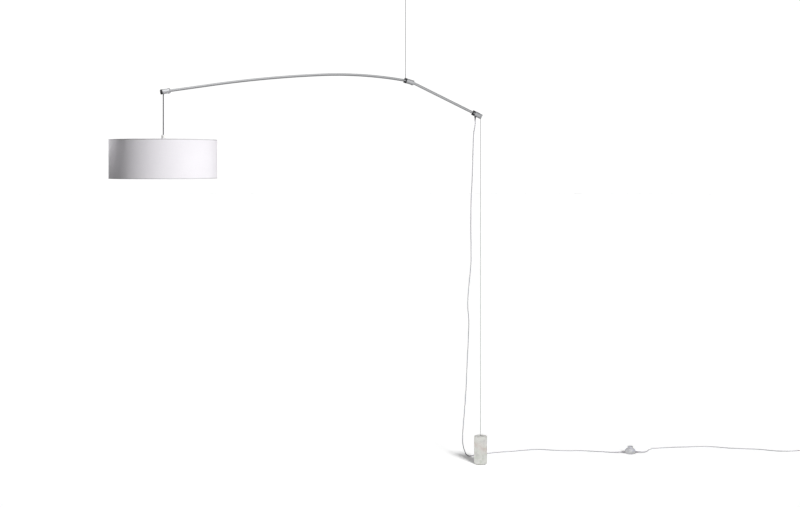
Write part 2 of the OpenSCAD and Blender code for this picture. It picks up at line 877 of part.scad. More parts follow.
module right_screws() {
    color(steel) at_pose(right_axis) for (x = right_screw_at) set_screw(x, tube_r + fit);
}

module right_end_plug() {
    color(chrome) at_pose(right_axis) difference() {
        union() {
            rod_x(barrel_to_end - end_plug_depth, barrel_to_end + end_plug_h, spigot_r);
            rod_x(barrel_to_end, barrel_to_end + end_plug_h, sleeve_r);
        }
        cable_slot();
    }
}

// The gland hangs plumb from the sleeve's underside
module cord_gland() {
    color(black) difference() {
        union() {
            difference() {
                gland_frame() rod_z(gland_skin - gland_r, gland_mouth, gland_r);
                at_pose(right_axis) rod_x(right_ring_at, barrel_to_end, sleeve_r + fit);
            }
            gland_frame() rod_z(gland_skin - gland_depth, gland_skin + cut, gland_spigot_r);
        }
        gland_frame() rod_z(0, gland_skin, inner_flex_d / 2 + fit);
    }
}

module arm_relief() {
    color(pale_flex) gland_frame() translate([0, 0, gland_mouth])
        cylinder(r1 = arm_relief_r, r2 = flex_h + relief_lip, h = arm_relief_len);
}

module cable_barrel() {
    color(steel) translate([stone_x, 0, right_axis[1]]) difference() {
        rod_y(sleeve_r - stub_inset, barrel_r);
        rod_z(-barrel_r - cut, barrel_r + cut, stone_cable_d / 2 + fit);
    }
}

// ---- counterweight ----
anchor_z = stone_z + anchor_depth;
stop_z = right_axis[1] + barrel_r;   // the cable's stop sits on the barrel
cable_stop_r = 2.2;
cable_stop_h = 4;

module counterweight_cable() {
    color(steel) translate([stone_x, 0, 0]) {
        rod_z(anchor_z - washer_h - crimp_h, stop_z + cable_stop_h, stone_cable_d / 2);
        rod_z(stop_z, stop_z + cable_stop_h, cable_stop_r);
    }
}

module stone_ferrule() {
    color(chrome) translate([stone_x, 0, 0]) difference() {
        union() {
            rod_z(stone_top, stone_top + ferrule_flange_h, ferrule_flange_r);
            rod_z(stone_top - ferrule_depth, stone_top + cut, stone_bore_d / 2 - fit);
        }
        rod_z(stone_top - ferrule_depth - cut, stone_top + ferrule_flange_h + cut,
            stone_cable_d / 2 + cable_gap);
    }
}

module stone() {
    r = stone_d / 2;
    b = stone_bevel;
    color([0.84, 0.84, 0.8]) translate([stone_x, 0, stone_z]) difference() {
        union() {
            cylinder(r1 = r - b, r2 = r, h = b);
            rod_z(b, stone_len - b, r);
            translate([0, 0, stone_len - b]) cylinder(r1 = r, r2 = r - b, h = b);
        }
        rod_z(-cut, stone_len + cut, stone_bore_d / 2);
        rod_z(-cut, anchor_depth, anchor_bore_r);
    }
}

// Washer under the stone's step and the crimp that holds the cable below it
module stone_anchor() {
    color(steel) translate([stone_x, 0, anchor_z]) difference() {
        union() {
            rod_z(-washer_h, 0, anchor_bore_r - fit);
            rod_z(-washer_h - crimp_h, 0, crimp_r);
        }
        rod_z(-washer_h - crimp_h - cut, cut, stone_cable_d / 2 + fit);
    }
}

module felt_pad() {
    color([0.25, 0.25, 0.25]) translate([stone_x, 0, floor_z])
        rod_z(0, felt_t, stone_d / 2 - felt_inset);
}

// ---- mains flex ----
module on_floor(pos) {
    translate([pos[0], pos[1], floor_z]) children();
}

function laid(route) = [for (p = route) [p[0], p[1], p[2] + floor_z]];

module hanging_flex() {
    color(pale_flex) sweep_tube(laid(hanging_route), mains_flex_d / 2, 10);
}

module outgoing_flex() {
    color(pale_flex) sweep_tube(laid(outgoing_route), mains_flex_d / 2, 10);
}

// ---- foot switch ----
module relief_holes(r) {
    translate([0, 0, gland_z]) rod_x(-2 * switch_r, 2 * switch_r, r);
}

// Base with a centring lip inside the cover and four pads under it
module switch_base() {
    lip_r = switch_r - cover_wall - fit;
    color(pale_flex) on_floor(switch_pos) {
        difference() {
            union() {
                rod_z(pad_h, base_top, switch_r);
                rod_z(base_top, base_top + lip_h, lip_r);
            }
            rod_z(base_top, base_top + lip_h + cut, lip_r - cover_wall);
            relief_holes(relief_spigot_r + fit);
        }
        for (k = [0:3]) rotate([0, 0, 45 + 90 * k]) translate([pad_at, 0, 0])
            rod_z(0, pad_h + cut, pad_r);
    }
}

// Cover profile: upright rim, shoulder in short slopes, flat top around the button
cover_curve = [[0, 15], [1, 11], [3, 7], [6, 3], [10, 0.5], [12, 0]]; // [inwards, downwards]

module cover_outline(inset) {
    polygon(concat([[0, base_top], [switch_r - inset, base_top]],
        [for (c = cover_curve) [switch_r - inset - c[0], switch_shoulder_h - inset - c[1]]],
        [[0, switch_shoulder_h - inset]]));
}

module switch_cover() {
    color(pale_flex) on_floor(switch_pos) difference() {
        rotate_extrude() difference() {
            cover_outline(0);
            cover_outline(cover_wall);
            square([switch_r - cover_wall, base_top + cut]);
            square([button_r + running, switch_shoulder_h + cut]);
        }
        relief_holes(relief_spigot_r + fit);
    }
}

// Button: a domed cap with a stop flange under the cover and a boss over the spring
button_curve = [[0, 4], [1, 2], [4, 0.5], [7, 0]];                    // [inwards, downwards]
flange_gap = 0.3;
flange_lip = 1.5;

module switch_button() {
    flange_top = switch_shoulder_h - cover_wall - flange_gap;
    flange_r = button_r + flange_lip;
    bore_r = button_r - button_wall;
    color(pale_flex) on_floor(switch_pos) rotate_extrude() difference() {
        polygon(concat([[0, button_skirt_z], [flange_r, button_skirt_z],
            [flange_r, flange_top], [button_r, flange_top]],
            [for (c = button_curve) [button_r - c[0], button_top_h - c[1]]],
            [[0, button_top_h]]));
        square([bore_r, button_boss_z]);
        translate([button_boss_r, 0])
            square([bore_r - button_boss_r, button_top_h - button_wall]);
    }
}

spring_r = 5;
spring_wire_r = 0.6;
spring_turns = 5;
spring_steps = 12;
spring_base = block_top + spring_wire_r;
spring_top = button_boss_z - spring_wire_r;

module button_spring() {
    helix = [for (i = [0:spring_turns * spring_steps]) let (a = 360 * i / spring_steps)
        [spring_r * cos(a), spring_r * sin(a),
        spring_base + (spring_top - spring_base) * i / (spring_turns * spring_steps)]];
    color(steel) on_floor(switch_pos) sweep_tube(helix, spring_wire_r, 6);
}

module switch_block() {
    color(black) on_floor(switch_pos) translate([-block_len / 2, -block_w / 2, base_top])
        cube([block_len, block_w, block_top - base_top]);
}

// Tapered reliefs: spigot in the shell, flange on the skin, cone outwards
module switch_reliefs() {
    color(pale_flex) on_floor(switch_pos) for (turn = [0, 180]) rotate([0, 0, turn])
        translate([0, 0, gland_z]) {
            rod_x(switch_r - relief_depth, switch_r + relief_flange_h, relief_spigot_r);
            rod_x(switch_r, switch_r + relief_flange_h, relief_flange_r);
            translate([switch_r, 0, 0]) rotate([0, 90, 0])
                cylinder(r1 = relief_root_r, r2 = flex_h + relief_lip, h = relief_len);
        }
}

// ---- coil and plug ----
module flex_coil() {
    color(pale_flex) on_floor(coil_pos) translate([0, 0, coil_lift]) rotate_extrude()
        translate([coil_mid_r - coil_half_w, 0]) square([2 * coil_half_w, coil_h]);
}

module coil_tie() {
    inner_w = 2 * (coil_half_w + tie_gap);
    color(black) on_floor(coil_pos) translate([-tie_w / 2, coil_mid_r - inner_w / 2 - tie_t, 0])
        difference() {
            cube([tie_w, inner_w + 2 * tie_t, coil_lift + coil_h + tie_gap + tie_t]);
            translate([-cut, tie_t, tie_t])
                cube([tie_w + 2 * cut, inner_w, coil_lift - tie_t + coil_h + tie_gap]);
        }
}

// Moulded plug that points along +Y: flex tail, tapered relief, six-sided body
module plug_frame() {
    on_floor(plug_pos) translate([0, 0, plug_t / 2]) rotate([-90, 0, 0]) children();
}

module plug_body() {
    color(pale_flex) plug_frame() {
        rod_z(-plug_tail_len, plug_relief_len, flex_h);
        cylinder(r1 = flex_h + relief_lip, r2 = plug_relief_r, h = plug_relief_len + cut);
        translate([0, 0, plug_relief_len]) linear_extrude(plug_len)
            polygon([for (side = [-1, 1]) each [[side * plug_w / 2, 0],
                [side * (plug_w / 2 - plug_slope), side * plug_t / 2],
                [side * (plug_slope - plug_w / 2), side * plug_t / 2]]]);
    }
}

module plug_pins() {
    color(steel) plug_frame() for (side = [-1, 1])
        translate([side * pin_gap / 2, 0, plug_relief_len + plug_len])
            cylinder(r = plug_pin_d / 2, h = pin_len);
}

ceiling_plate();
ceiling_cup();
bearing_washer();
cable_nipple();
ceiling_cable();
cable_eye();
pivot_pin();
pivot_collar();
pivot_sleeve();
pivot_nose();
pivot_screw();
bowed_rod();
right_tube();
inner_flex();
left_sleeve();
left_end_cap();
left_bush();
left_screws();
pendant_trunnion();
swing_pin();
flex_ferrule();
pendant_flex();
cord_grip();
holder_cap();
holder_skirt();
thread_shell();
centre_contact();
shade_nut();
bulb_cap();
bulb_glass();
shade_spider();
shade_top_ring();
shade_bottom_ring();
shade_panel();
top_hem();
bottom_hem();
right_ring();
right_sleeve();
right_screws();
right_end_plug();
cord_gland();
arm_relief();
cable_barrel();
counterweight_cable();
stone_ferrule();
stone();
stone_anchor();
felt_pad();
hanging_flex();
switch_base();
switch_cover();
switch_button();
button_spring();
switch_block();
switch_reliefs();
outgoing_flex();
flex_coil();
coil_tie();
plug_body();
plug_pins();
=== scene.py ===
# Balance-arm lamp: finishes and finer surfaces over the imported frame, in metres, ceiling at z = 0
import json
import math

import bmesh
import bpy
import numpy as np
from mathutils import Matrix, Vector

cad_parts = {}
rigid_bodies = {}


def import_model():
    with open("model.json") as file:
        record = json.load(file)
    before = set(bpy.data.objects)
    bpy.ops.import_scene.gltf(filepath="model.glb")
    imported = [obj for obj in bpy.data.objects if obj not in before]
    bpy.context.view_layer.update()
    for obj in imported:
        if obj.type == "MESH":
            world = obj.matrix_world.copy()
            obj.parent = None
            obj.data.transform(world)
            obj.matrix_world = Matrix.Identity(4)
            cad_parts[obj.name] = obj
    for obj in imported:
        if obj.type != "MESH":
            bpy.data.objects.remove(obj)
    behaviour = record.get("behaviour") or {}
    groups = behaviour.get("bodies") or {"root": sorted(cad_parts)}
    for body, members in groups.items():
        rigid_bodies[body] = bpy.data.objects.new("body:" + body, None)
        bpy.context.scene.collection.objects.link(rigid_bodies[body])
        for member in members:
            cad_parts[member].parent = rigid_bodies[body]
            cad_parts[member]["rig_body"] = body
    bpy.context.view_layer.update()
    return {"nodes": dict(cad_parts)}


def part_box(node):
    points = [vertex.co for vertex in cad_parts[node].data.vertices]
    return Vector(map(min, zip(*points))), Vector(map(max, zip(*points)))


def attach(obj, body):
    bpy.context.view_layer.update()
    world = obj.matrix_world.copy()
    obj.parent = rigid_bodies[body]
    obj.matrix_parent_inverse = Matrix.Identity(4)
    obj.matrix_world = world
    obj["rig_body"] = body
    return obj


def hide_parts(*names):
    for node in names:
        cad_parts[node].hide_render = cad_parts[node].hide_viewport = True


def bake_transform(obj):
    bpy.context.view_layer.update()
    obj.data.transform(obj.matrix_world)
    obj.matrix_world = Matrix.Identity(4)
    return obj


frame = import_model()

mm = 0.001
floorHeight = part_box("felt_pad")[0].z
print("frame loaded, floor at", round(floorHeight, 4))


# surfaces worked out as arrays

def unit(v):
    # each vector over its own length
    return v / np.linalg.norm(v, axis=-1, keepdims=True)


def ease(t, start, end):
    # 0 before start, 1 after end, and 3t^2 - 2t^3 between them
    t = np.clip((t - start) / (end - start), 0, 1)
    return t * t * (3 - 2 * t)


def placed(name, data):
    made = bpy.data.objects.new(name, data)
    bpy.context.scene.collection.objects.link(made)
    return made


def addPiece(name, points, faces, corners=None):
    # an object from an array of points, a list of faces and a texture point for each face corner
    mesh = bpy.data.meshes.new(name)
    mesh.from_pydata(points.tolist(), [], faces)
    if corners is not None:
        layer = mesh.uv_layers.new(name="laid")
        layer.data.foreach_set("uv", corners.astype(np.float32).ravel())
    mesh.shade_smooth()
    mesh.update()
    return placed(name, mesh)


def skin(name, rings, along=None, looped=False):
    # rings[i, j] is point j of ring i: four-sided faces join neighbouring rings, and the ends
    # close with a fan to their middle unless the last ring joins the first again; all faces
    # turn round if the volume they close is negative
    rows, columns = rings.shape[:2]
    along = np.arange(rows + 1.0) if along is None else np.append(along, along[-1])
    i, j = np.mgrid[:rows if looped else rows - 1, :columns]
    low, high, right = i * columns, (i + 1) % rows * columns, (j + 1) % columns
    points = rings.reshape(-1, 3)
    blocks = [(np.stack([low + j, low + right, high + right, high + j], -1),
        np.stack([along[i], along[i], along[i + 1], along[i + 1]], -1),
        np.stack([j, j + 1, j + 1, j], -1))]
    if not looped:
        k = np.arange(columns)
        after, end = (k + 1) % columns, len(points)
        points = np.concatenate([points, [rings[0].mean(0), rings[-1].mean(0)]])
        for row, fan in ((0, [after, k, end + 0 * k]),
                (rows - 1, [end - columns + k, end - columns + after, end + 1 + 0 * k])):
            blocks.append((np.stack(fan, -1), np.full((columns, 3), along[row]),
                np.stack([k, k + 1, k + 0.5], -1)))
    volume = 0
    for faces, _, _ in blocks:
        first, *others = (points[faces[..., n]] for n in range(faces.shape[-1]))
        volume += sum(np.sum(first * np.cross(b, c)) for b, c in zip(others, others[1:]))
    order = -1 if volume < 0 else 1
    faces, corners = [], []
    for block, u, v in blocks:
        sides = block.shape[-1]
        faces += block.reshape(-1, sides)[:, ::order].tolist()
        laid = np.stack([u, v / columns], -1).reshape(-1, sides, 2)
        corners.append(laid[:, ::order].reshape(-1, 2))
    return addPiece(name, points, faces, np.concatenate(corners))


def distanceAlong(line):
    return np.append(0, np.cumsum(np.linalg.norm(np.diff(line, axis=0), axis=1)))


def circle(sides):
    # even angles once round
    return 2 * np.pi * np.arange(sides) / sides


def lathe(r, z, angle, centre):
    # columns of radii and heights set at each angle about the plumb line through centre
    return np.stack([centre[0] + r * np.cos(angle), centre[1] + r * np.sin(angle),
        centre[2] + z + 0 * angle], -1)


def turned(name, profile, centre, sides=96, looped=False):
    # a profile of (radius, height) turned about the plumb line through centre;
    # along is the distance walked on the profile
    rings = lathe(profile[:, 0:1], profile[:, 1:2], circle(sides), centre)
    return skin(name, rings, distanceAlong(profile), looped)


def rounded(corners, radii, steps=5, closed=True):
    # each corner of a profile becomes an arc of its radius between the two edges, with one
    # more point on each edge beside the arc; an open profile keeps its first and last points
    p = np.array(corners, float)
    radii = np.broadcast_to(np.array(radii, float), len(p))[:, None]
    before, after = np.roll(p, 1, 0) - p, np.roll(p, -1, 0) - p
    edge = np.minimum(np.linalg.norm(before, axis=1), np.linalg.norm(after, axis=1))[:, None]
    d1, d2 = unit(before + 1e-12), unit(after + 1e-12)
    half = np.arccos(np.clip(np.sum(d1 * d2, 1, keepdims=True), -1, 1)) / 2
    reach = np.minimum(radii / np.tan(half), 0.3 * edge)
    radii = reach * np.tan(half)
    middle = p + unit(d1 + d2 + 1e-15) * radii / np.sin(half)
    swing = np.pi - 2 * half
    t = np.linspace(0, 1, steps)[None, :, None]
    w1 = np.sin((1 - t) * swing[:, None]) / np.sin(swing)[:, None]
    w2 = np.sin(t * swing[:, None]) / np.sin(swing)[:, None]
    from1, from2 = p + d1 * reach - middle, p + d2 * reach - middle
    arcs = middle[:, None] + w1 * from1[:, None] + w2 * from2[:, None]
    arcs = np.concatenate([(p + 1.5 * reach * d1)[:, None], arcs,
        (p + 1.5 * reach * d2)[:, None]], 1)
    if closed:
        return arcs.reshape(-1, 2)
    return np.concatenate([p[:1], arcs[1:-1].reshape(-1, 2), p[-1:]])


def smoothLine(points, spacing):
    # cubic through all points: each slope is the mean of its two neighbours' slopes weighted
    # by the other span, level where the height stops changing, then walked in equal steps
    p = np.array(points, float)
    h = np.linalg.norm(np.diff(p, axis=0), axis=1)[:, None]
    slope = np.diff(p, axis=0) / h
    inner = (slope[:-1] * h[1:] + slope[1:] * h[:-1]) / (h[1:] + h[:-1])
    inner[:, 2] = np.where(slope[:-1, 2] * slope[1:, 2] <= 1e-9, 0, inner[:, 2])
    m = np.concatenate([slope[:1], inner, slope[-1:]])
    t = np.linspace(0, 1, 40, endpoint=False)[None, :, None]
    t2, t3, hh = t * t, t ** 3, h[:, None]
    fine = ((2 * t3 - 3 * t2 + 1) * p[:-1, None] + (t3 - 2 * t2 + t) * hh * m[:-1, None]
        + (3 * t2 - 2 * t3) * p[1:, None] + (t3 - t2) * hh * m[1:, None])
    return evenLine(np.concatenate([fine.reshape(-1, 3), p[-1:]]), spacing)


def smoothOutline(outline, spacing):
    # the same for an outline of radius and height
    r, z = np.array(outline).T
    return smoothLine(np.stack([r, 0 * r, z], -1), spacing)[:, [0, 2]]


def evenLine(line, spacing):
    # the same line walked in equal steps of about spacing
    walked = distanceAlong(line)
    at = np.linspace(0, walked[-1], max(3, round(walked[-1] / spacing) + 1))
    return np.stack([np.interp(at, walked, line[:, k]) for k in range(3)], -1)


def ringsAlong(line, radius, sides, reference):
    # circles round a line: one axis is the cross product of its direction and a reference
    # direction, the other stands on both; radius is one number or one for each point
    tangent = unit(np.gradient(line, axis=0))
    across = unit(np.cross(tangent, np.broadcast_to(reference, line.shape)))
    other = np.cross(tangent, across)
    angle = circle(sides)
    radius = np.broadcast_to(np.array(radius, float), (len(line), sides))[..., None]
    return line[:, None] + radius * (np.cos(angle)[:, None] * across[:, None]
        + np.sin(angle)[:, None] * other[:, None])


def tube(name, line, radius, sides, reference):
    # one closed tube of a given radius along a line
    return skin(name, ringsAlong(line, radius, sides, reference), distanceAlong(line))


def pipe(name, line, outer, inner, sides, reference):
    # a tube with a bore: the rings go out along the line and come back inside it
    outside = ringsAlong(line, outer, sides, reference)
    inside = ringsAlong(line, inner, sides, reference)[::-1]
    along = distanceAlong(line)
    return skin(name, np.concatenate([outside, inside]), np.append(along, along[::-1]), True)


# camera, floor and light
viewpoint = dict(place=(-0.0305, -6.426, -0.99), lens=52.2, sensor=36.0, shiftY=-0.112)

cameraData = bpy.data.cameras.new("camera")
cameraData.lens = viewpoint["lens"]
cameraData.sensor_width = viewpoint["sensor"]
cameraData.shift_y = viewpoint["shiftY"]
cameraData.clip_end = 200
camera = placed("camera", cameraData)
camera.location = viewpoint["place"]
camera.rotation_euler = (math.pi / 2, 0, 0)
bpy.context.scene.camera = camera
bpy.context.scene.view_settings.view_transform = "Standard"


def feed(made, inputs):
    # a socket takes a number, a colour or another node's output
    for key, value in inputs.items():
        if isinstance(value, bpy.types.NodeSocket):
            made.id_data.links.new(value, made.inputs[key])
        else:
            made.inputs[key].default_value = value


def node(tree, kind, inputs=None, **settings):
    # one shader node
    made = tree.nodes.new(kind)
    for key, value in settings.items():
        setattr(made, key, value)
    feed(made, inputs or {})
    return made


def treeOf(*values):
    # the node tree of the first value that is another node's output
    return next(v.id_data for v in values if isinstance(v, bpy.types.NodeSocket))


def calc(operation, *values):
    # one arithmetic step
    return node(treeOf(*values), "ShaderNodeMath", dict(enumerate(values)),
        operation=operation).outputs[0]


def times(one, other):
    return calc("MULTIPLY", one, other)


def timesPlus(one, other, added):
    return calc("MULTIPLY_ADD", one, other, added)


def wave(value):
    return calc("SINE", value)


def mixed(amount, one, other, way="MIX"):
    # two colours, the second one laid over the first by an amount
    return node(treeOf(amount, one, other), "ShaderNodeMix", {0: amount, 6: one, 7: other},
        data_type="RGBA", blend_type=way).outputs[2]


def parts(vector):
    return node(vector.id_data, "ShaderNodeSeparateXYZ", {0: vector}).outputs


def ramp(value, stops, smooth=False):
    # a colour ramp from (place, colour) pairs
    made = node(value.id_data, "ShaderNodeValToRGB", {"Fac": value})
    band = made.color_ramp
    band.interpolation = "EASE" if smooth else "LINEAR"
    while len(band.elements) < len(stops):
        band.elements.new(0.5)
    for element, (place, colour) in zip(band.elements, stops):
        element.position = place
        element.color = (*colour, 1)
    return made.outputs["Color"]


def spread(value, low, high, start=0.3, end=0.7):
    # a value's range, by default that of a noise, laid out over low to high
    return node(value.id_data, "ShaderNodeMapRange", {"Value": value, "From Min": start,
        "From Max": end, "To Min": low, "To Max": high}).outputs[0]


def grey(value):
    return (value, value, value, 1)


studio = dict(
    fill=0.19, backdrop=1.05,
    floorMiddle=0.5, floorRadius=60.0, floorRings=24, floorSides=96,
    floorGlow=0.14, floorShown=1.0, floorTone=0.33,
    # suns: the key on all that hangs, one on the floor and the flex, two on what stands there
    key=dict(turn=51.5, height=42, strength=4.2, spread=20),
    ground=dict(turn=25, height=33, strength=4.0, spread=18),
    right=dict(turn=58, height=24, strength=2.5, spread=30),
    left=dict(turn=-60, height=24, strength=2.45, spread=30),
    rim=dict(turn=-120, distance=3.0, height=0.8, power=470.0, size=0.15, cone=15,
        aim=(-0.27, -0.10, 0.31)),
    # brightness that gloss sees, by the sine of the height: before the lamp, then behind it
    front=[(-1.0, 0.33), (-0.6, 0.48), (-0.2, 0.72), (0.05, 0.66), (0.55, 0.86), (0.8, 0.90),
        (1.0, 0.72)],
    rear=[(-1.0, 0.33), (-0.5, 0.27), (0.0, 0.36), (0.55, 0.24), (0.85, 0.26), (1.0, 0.72)],
    # and by the direction to the right
    across=[(-1.0, 1.0), (-0.3, 1.28), (-0.1, 1.15), (0.05, 0.92), (0.3, 0.60), (0.6, 0.60),
        (1.0, 1.0)],
    # brightness of the floor that gloss sees, by the distance behind the lamp in metres
    under=[(-8.0, 0.66), (-3.0, 0.50), (-1.2, 0.42), (0.0, 0.34), (1.5, 0.22), (8.0, 0.35)],
)


def greyRamp(value, stops):
    # a ramp of greys from (value, brightness) pairs, whatever range the values span
    low, high = stops[0][0], stops[-1][0]
    return ramp(spread(value, 0.0, 1.0, low, high),
        [((at - low) / (high - low), (tone,) * 3) for at, tone in stops], True)


def makeWorld():
    # plain white behind everything, a dim fill for matt faces and soft panels for gloss
    world = bpy.data.worlds.new("studio")
    bpy.context.scene.world = world
    world.use_nodes = True
    tree = world.node_tree
    tree.nodes.clear()
    right, back, up = parts(node(tree, "ShaderNodeTexCoord").outputs["Generated"])
    panels = mixed(spread(back, 0.0, 1.0, -0.3, 0.3), greyRamp(up, studio["front"]),
        greyRamp(up, studio["rear"]))
    gloss = mixed(1.0, panels, greyRamp(right, studio["across"]), "MULTIPLY")
    rays = node(tree, "ShaderNodeLightPath").outputs
    matt = mixed(rays["Is Glossy Ray"], grey(studio["fill"]), gloss)
    shown = mixed(rays["Is Camera Ray"], matt, grey(studio["backdrop"]))
    backdrop = node(tree, "ShaderNodeBackground", {"Color": shown})
    node(tree, "ShaderNodeOutputWorld", {"Surface": backdrop.outputs[0]})


def makeFloor():
    # a wide round floor in rings; to the camera it glows enough to stay white where lit
    count, sides = studio["floorRings"], studio["floorSides"]
    radii = np.geomspace(studio["floorMiddle"], studio["floorRadius"], count)[:, None]
    rings = lathe(radii, 0 * radii, circle(sides), (0, 0, floorHeight))
    points = np.concatenate([rings.reshape(-1, 3), [[0, 0, floorHeight]]])
    k = np.arange(sides)
    i, j, after = np.arange(count - 1)[:, None] * sides, k[None], (k[None] + 1) % sides
    quads = np.stack([i + j, i + sides + j, i + sides + after, i + after], -1).reshape(-1, 4)
    fan = np.stack([k, (k + 1) % sides, np.full(sides, len(points) - 1)], -1)
    floor = addPiece("floor", points, quads.tolist() + fan.tolist())
    paint = bpy.data.materials.new("floor")
    paint.use_nodes = True
    tree = paint.node_tree
    tree.nodes.clear()
    matt = node(tree, "ShaderNodeBsdfDiffuse", {"Color": grey(studio["floorTone"])})
    white = node(tree, "ShaderNodeBsdfDiffuse", {"Color": grey(studio["floorShown"])})
    glow = node(tree, "ShaderNodeEmission", {"Color": grey(1.0), "Strength": studio["floorGlow"]})
    shown = node(tree, "ShaderNodeAddShader", {0: white.outputs[0], 1: glow.outputs[0]})
    behind = parts(node(tree, "ShaderNodeTexCoord").outputs["Object"])[1]
    mirrored = node(tree, "ShaderNodeEmission", {"Color": greyRamp(behind, studio["under"])})
    rays = node(tree, "ShaderNodeLightPath").outputs
    look = matt
    for ray, other in (("Is Glossy Ray", mirrored), ("Is Camera Ray", shown)):
        look = node(tree, "ShaderNodeMixShader", {0: rays[ray], 1: look.outputs[0],
            2: other.outputs[0]})
    node(tree, "ShaderNodeOutputMaterial", {"Surface": look.outputs[0]})
    floor.data.materials.append(paint)
    return floor


def addLamp(name, kind, **settings):
    # a lamp that gloss doesn't see
    lamp = bpy.data.lights.new(name, kind)
    for key, value in settings.items():
        setattr(lamp, key, value)
    made = placed(name, lamp)
    made.visible_glossy = False
    return made


def addSun(name):
    # far away; its turn is from the front to the right
    look = studio[name]
    sun = addLamp(name, "SUN", energy=look["strength"], angle=math.radians(look["spread"]))
    sun.rotation_euler = (math.pi / 2 - math.radians(look["height"]), 0,
        math.radians(look["turn"]))
    return sun


def addRim():
    # a narrow lamp behind the shade's left side
    look = studio["rim"]
    rim = addLamp("rim", "SPOT", energy=look["power"], spot_size=math.radians(look["cone"]),
        spot_blend=1.0, shadow_soft_size=look["size"])
    middle = (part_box("shade_panel")[0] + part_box("shade_panel")[1]) / 2
    turn = math.radians(look["turn"])
    rim.location = middle + Vector((look["distance"] * math.sin(turn), -look["distance"]
        * math.cos(turn), look["height"]))
    rim.rotation_mode = "QUATERNION"
    rim.rotation_quaternion = (rim.location - middle - Vector(look["aim"])).to_track_quat("Z",
        "Y")


def lightOnly(sun, pieces, allBut=False, blockers=None):
    # the pieces that a sun lights, or all but them, and those that throw its shadows
    lit = bpy.data.collections.new(sun.name + "Lit")
    for piece in pieces:
        lit.objects.link(piece)
    if allBut:
        for entry in lit.collection_objects:
            entry.light_linking.link_state = "EXCLUDE"
    sun.light_linking.receiver_collection = lit
    if blockers:
        shading = bpy.data.collections.new(sun.name + "Shading")
        for piece in blockers:
            shading.objects.link(piece)
        sun.light_linking.blocker_collection = shading


makeWorld()
floor = makeFloor()
suns = {name: addSun(name) for name in ("key", "ground", "right", "left")}
addRim()
print("camera, floor and lights ready")


# the two runs of mains flex
flex = dict(
    radius=2.75, sides=18, spacing=4.0, coilSpacing=3.0, turning=(0.005, 0.16),
    landing=(0.79, 0.61, 0),
    # x, y and height above the floor in mm, from the lamp to the foot switch; without a
    # height the flex lies on the floor
    hanging=[(386, 0, 1894), (386, 0, 1884), (379, 4, 1835), (376, 10, 1770), (371, 21, 1580),
        (366, 28, 1470), (364, 37, 1330), (366, 46, 1190), (366, 51, 1110), (360, 56, 1030),
        (351, 61, 935), (349, 66, 865), (355, 71, 780), (353, 77, 690), (346, 87, 520),
        (339, 97, 360), (330, 106, 235), (324, 114, 150), (323, 122, 98), (327, 128, 66),
        (335, 136, 36), (347, 144, 13), (366, 156), (392, 176), (428, 200), (478, 219),
        (530, 240), (610, 261), (690, 289), (740, 305), (785, 307), (830, 297), (897, 281),
        (950, 276), (1002, 281), (1069, 268), (1120, 257), (1165, 246), (1190, 237, 4),
        (1211, 230, 6.4), (1223, 227, 7.8), (1232, 226, 8.5), (1236, 226, 8.5)],
    # from the foot switch to the coil
    outgoing=[(1344, 226, 8.5), (1349, 226, 8.5), (1361, 228.5, 7.5), (1373, 235, 6.2),
        (1384, 246, 4.9), (1394, 261, 3.8), (1403, 279, 3), (1412, 298), (1423, 313),
        (1438, 325), (1465, 336), (1539, 354), (1612, 364), (1683, 370), (1757, 379),
        (1790, 375), (1822, 365), (1885, 341), (1951, 326), (2019, 318), (2083, 300),
        (2141, 273), (2200, 266), (2255, 276), (2300, 289), (2322, 293, 3.1)],
    # the coil's steps: by how much, and the angles where they start and end
    coilAt=(2356, 330), coilRadius=38.7, lift=3.65, coilFrom=-100, coilTo=1800,
    coilSteps=[(-2.6, -111, -50), (-5.6, 164, 264), (-5.6, 524, 624), (5.6, 1104, 1204),
        (5.6, 1464, 1564)],
    coilClimb=(5.6, 829, 899),
    # from the coil into the plug
    tail=[(2392.1, 341, 8.9), (2392, 352, 7.6), (2392, 362, 7.0), (2392, 368, 7.0)],
)


def coilLine():
    # a circle whose radius steps in three times and out twice in the upper layer, and whose
    # height climbs by one flex in the third turn; every step is eased between two angles
    turn = np.arange(flex["coilFrom"], flex["coilTo"] + 1, 4.0)
    r = flex["coilRadius"] + 0 * turn
    for step, start, end in flex["coilSteps"]:
        r += step * ease(turn, start, end)
    climb, start, end = flex["coilClimb"]
    z = flex["lift"] + climb * ease(turn, start, end)
    angle = np.radians(turn)
    return np.stack([flex["coilAt"][0] + r * np.cos(angle),
        flex["coilAt"][1] + r * np.sin(angle), z], -1)


def laid(points):
    # mm above the floor to the frame's metres
    return np.array(points, float) * mm + [0, 0, floorHeight]


def route(name):
    # a row of places; those without a height rest on the floor
    return laid([(*place, flex["radius"])[:3] for place in flex[name]])


def makeFlex():
    # both runs as tubes along smooth lines; the reference for the first one turns from the way
    # the flex lands to straight up as it reaches the floor
    radius, spacing = flex["radius"] * mm, flex["spacing"] * mm
    hanging = smoothLine(route("hanging"), spacing)
    hanging[:, 2] = np.maximum(hanging[:, 2], floorHeight + radius)
    high = ease(hanging[:, 2] - floorHeight, *flex["turning"])[:, None]
    reference = high * np.array(flex["landing"]) + (1 - high) * np.array([0, 0, 1.0])
    outgoing = smoothLine(np.concatenate([route("outgoing"), laid(coilLine()), route("tail")]),
        flex["coilSpacing"] * mm)
    return (tube("mainsFlex", hanging, radius, flex["sides"], reference), hanging,
        tube("plugFlex", outgoing, radius, flex["sides"], (0, 0, 1.0)), outgoing)


hangingFlex, hangingLine, plugFlex, plugLine = makeFlex()
print("flex lengths", [round(distanceAlong(line)[-1], 3) for line in (hangingLine, plugLine)])


# finishes

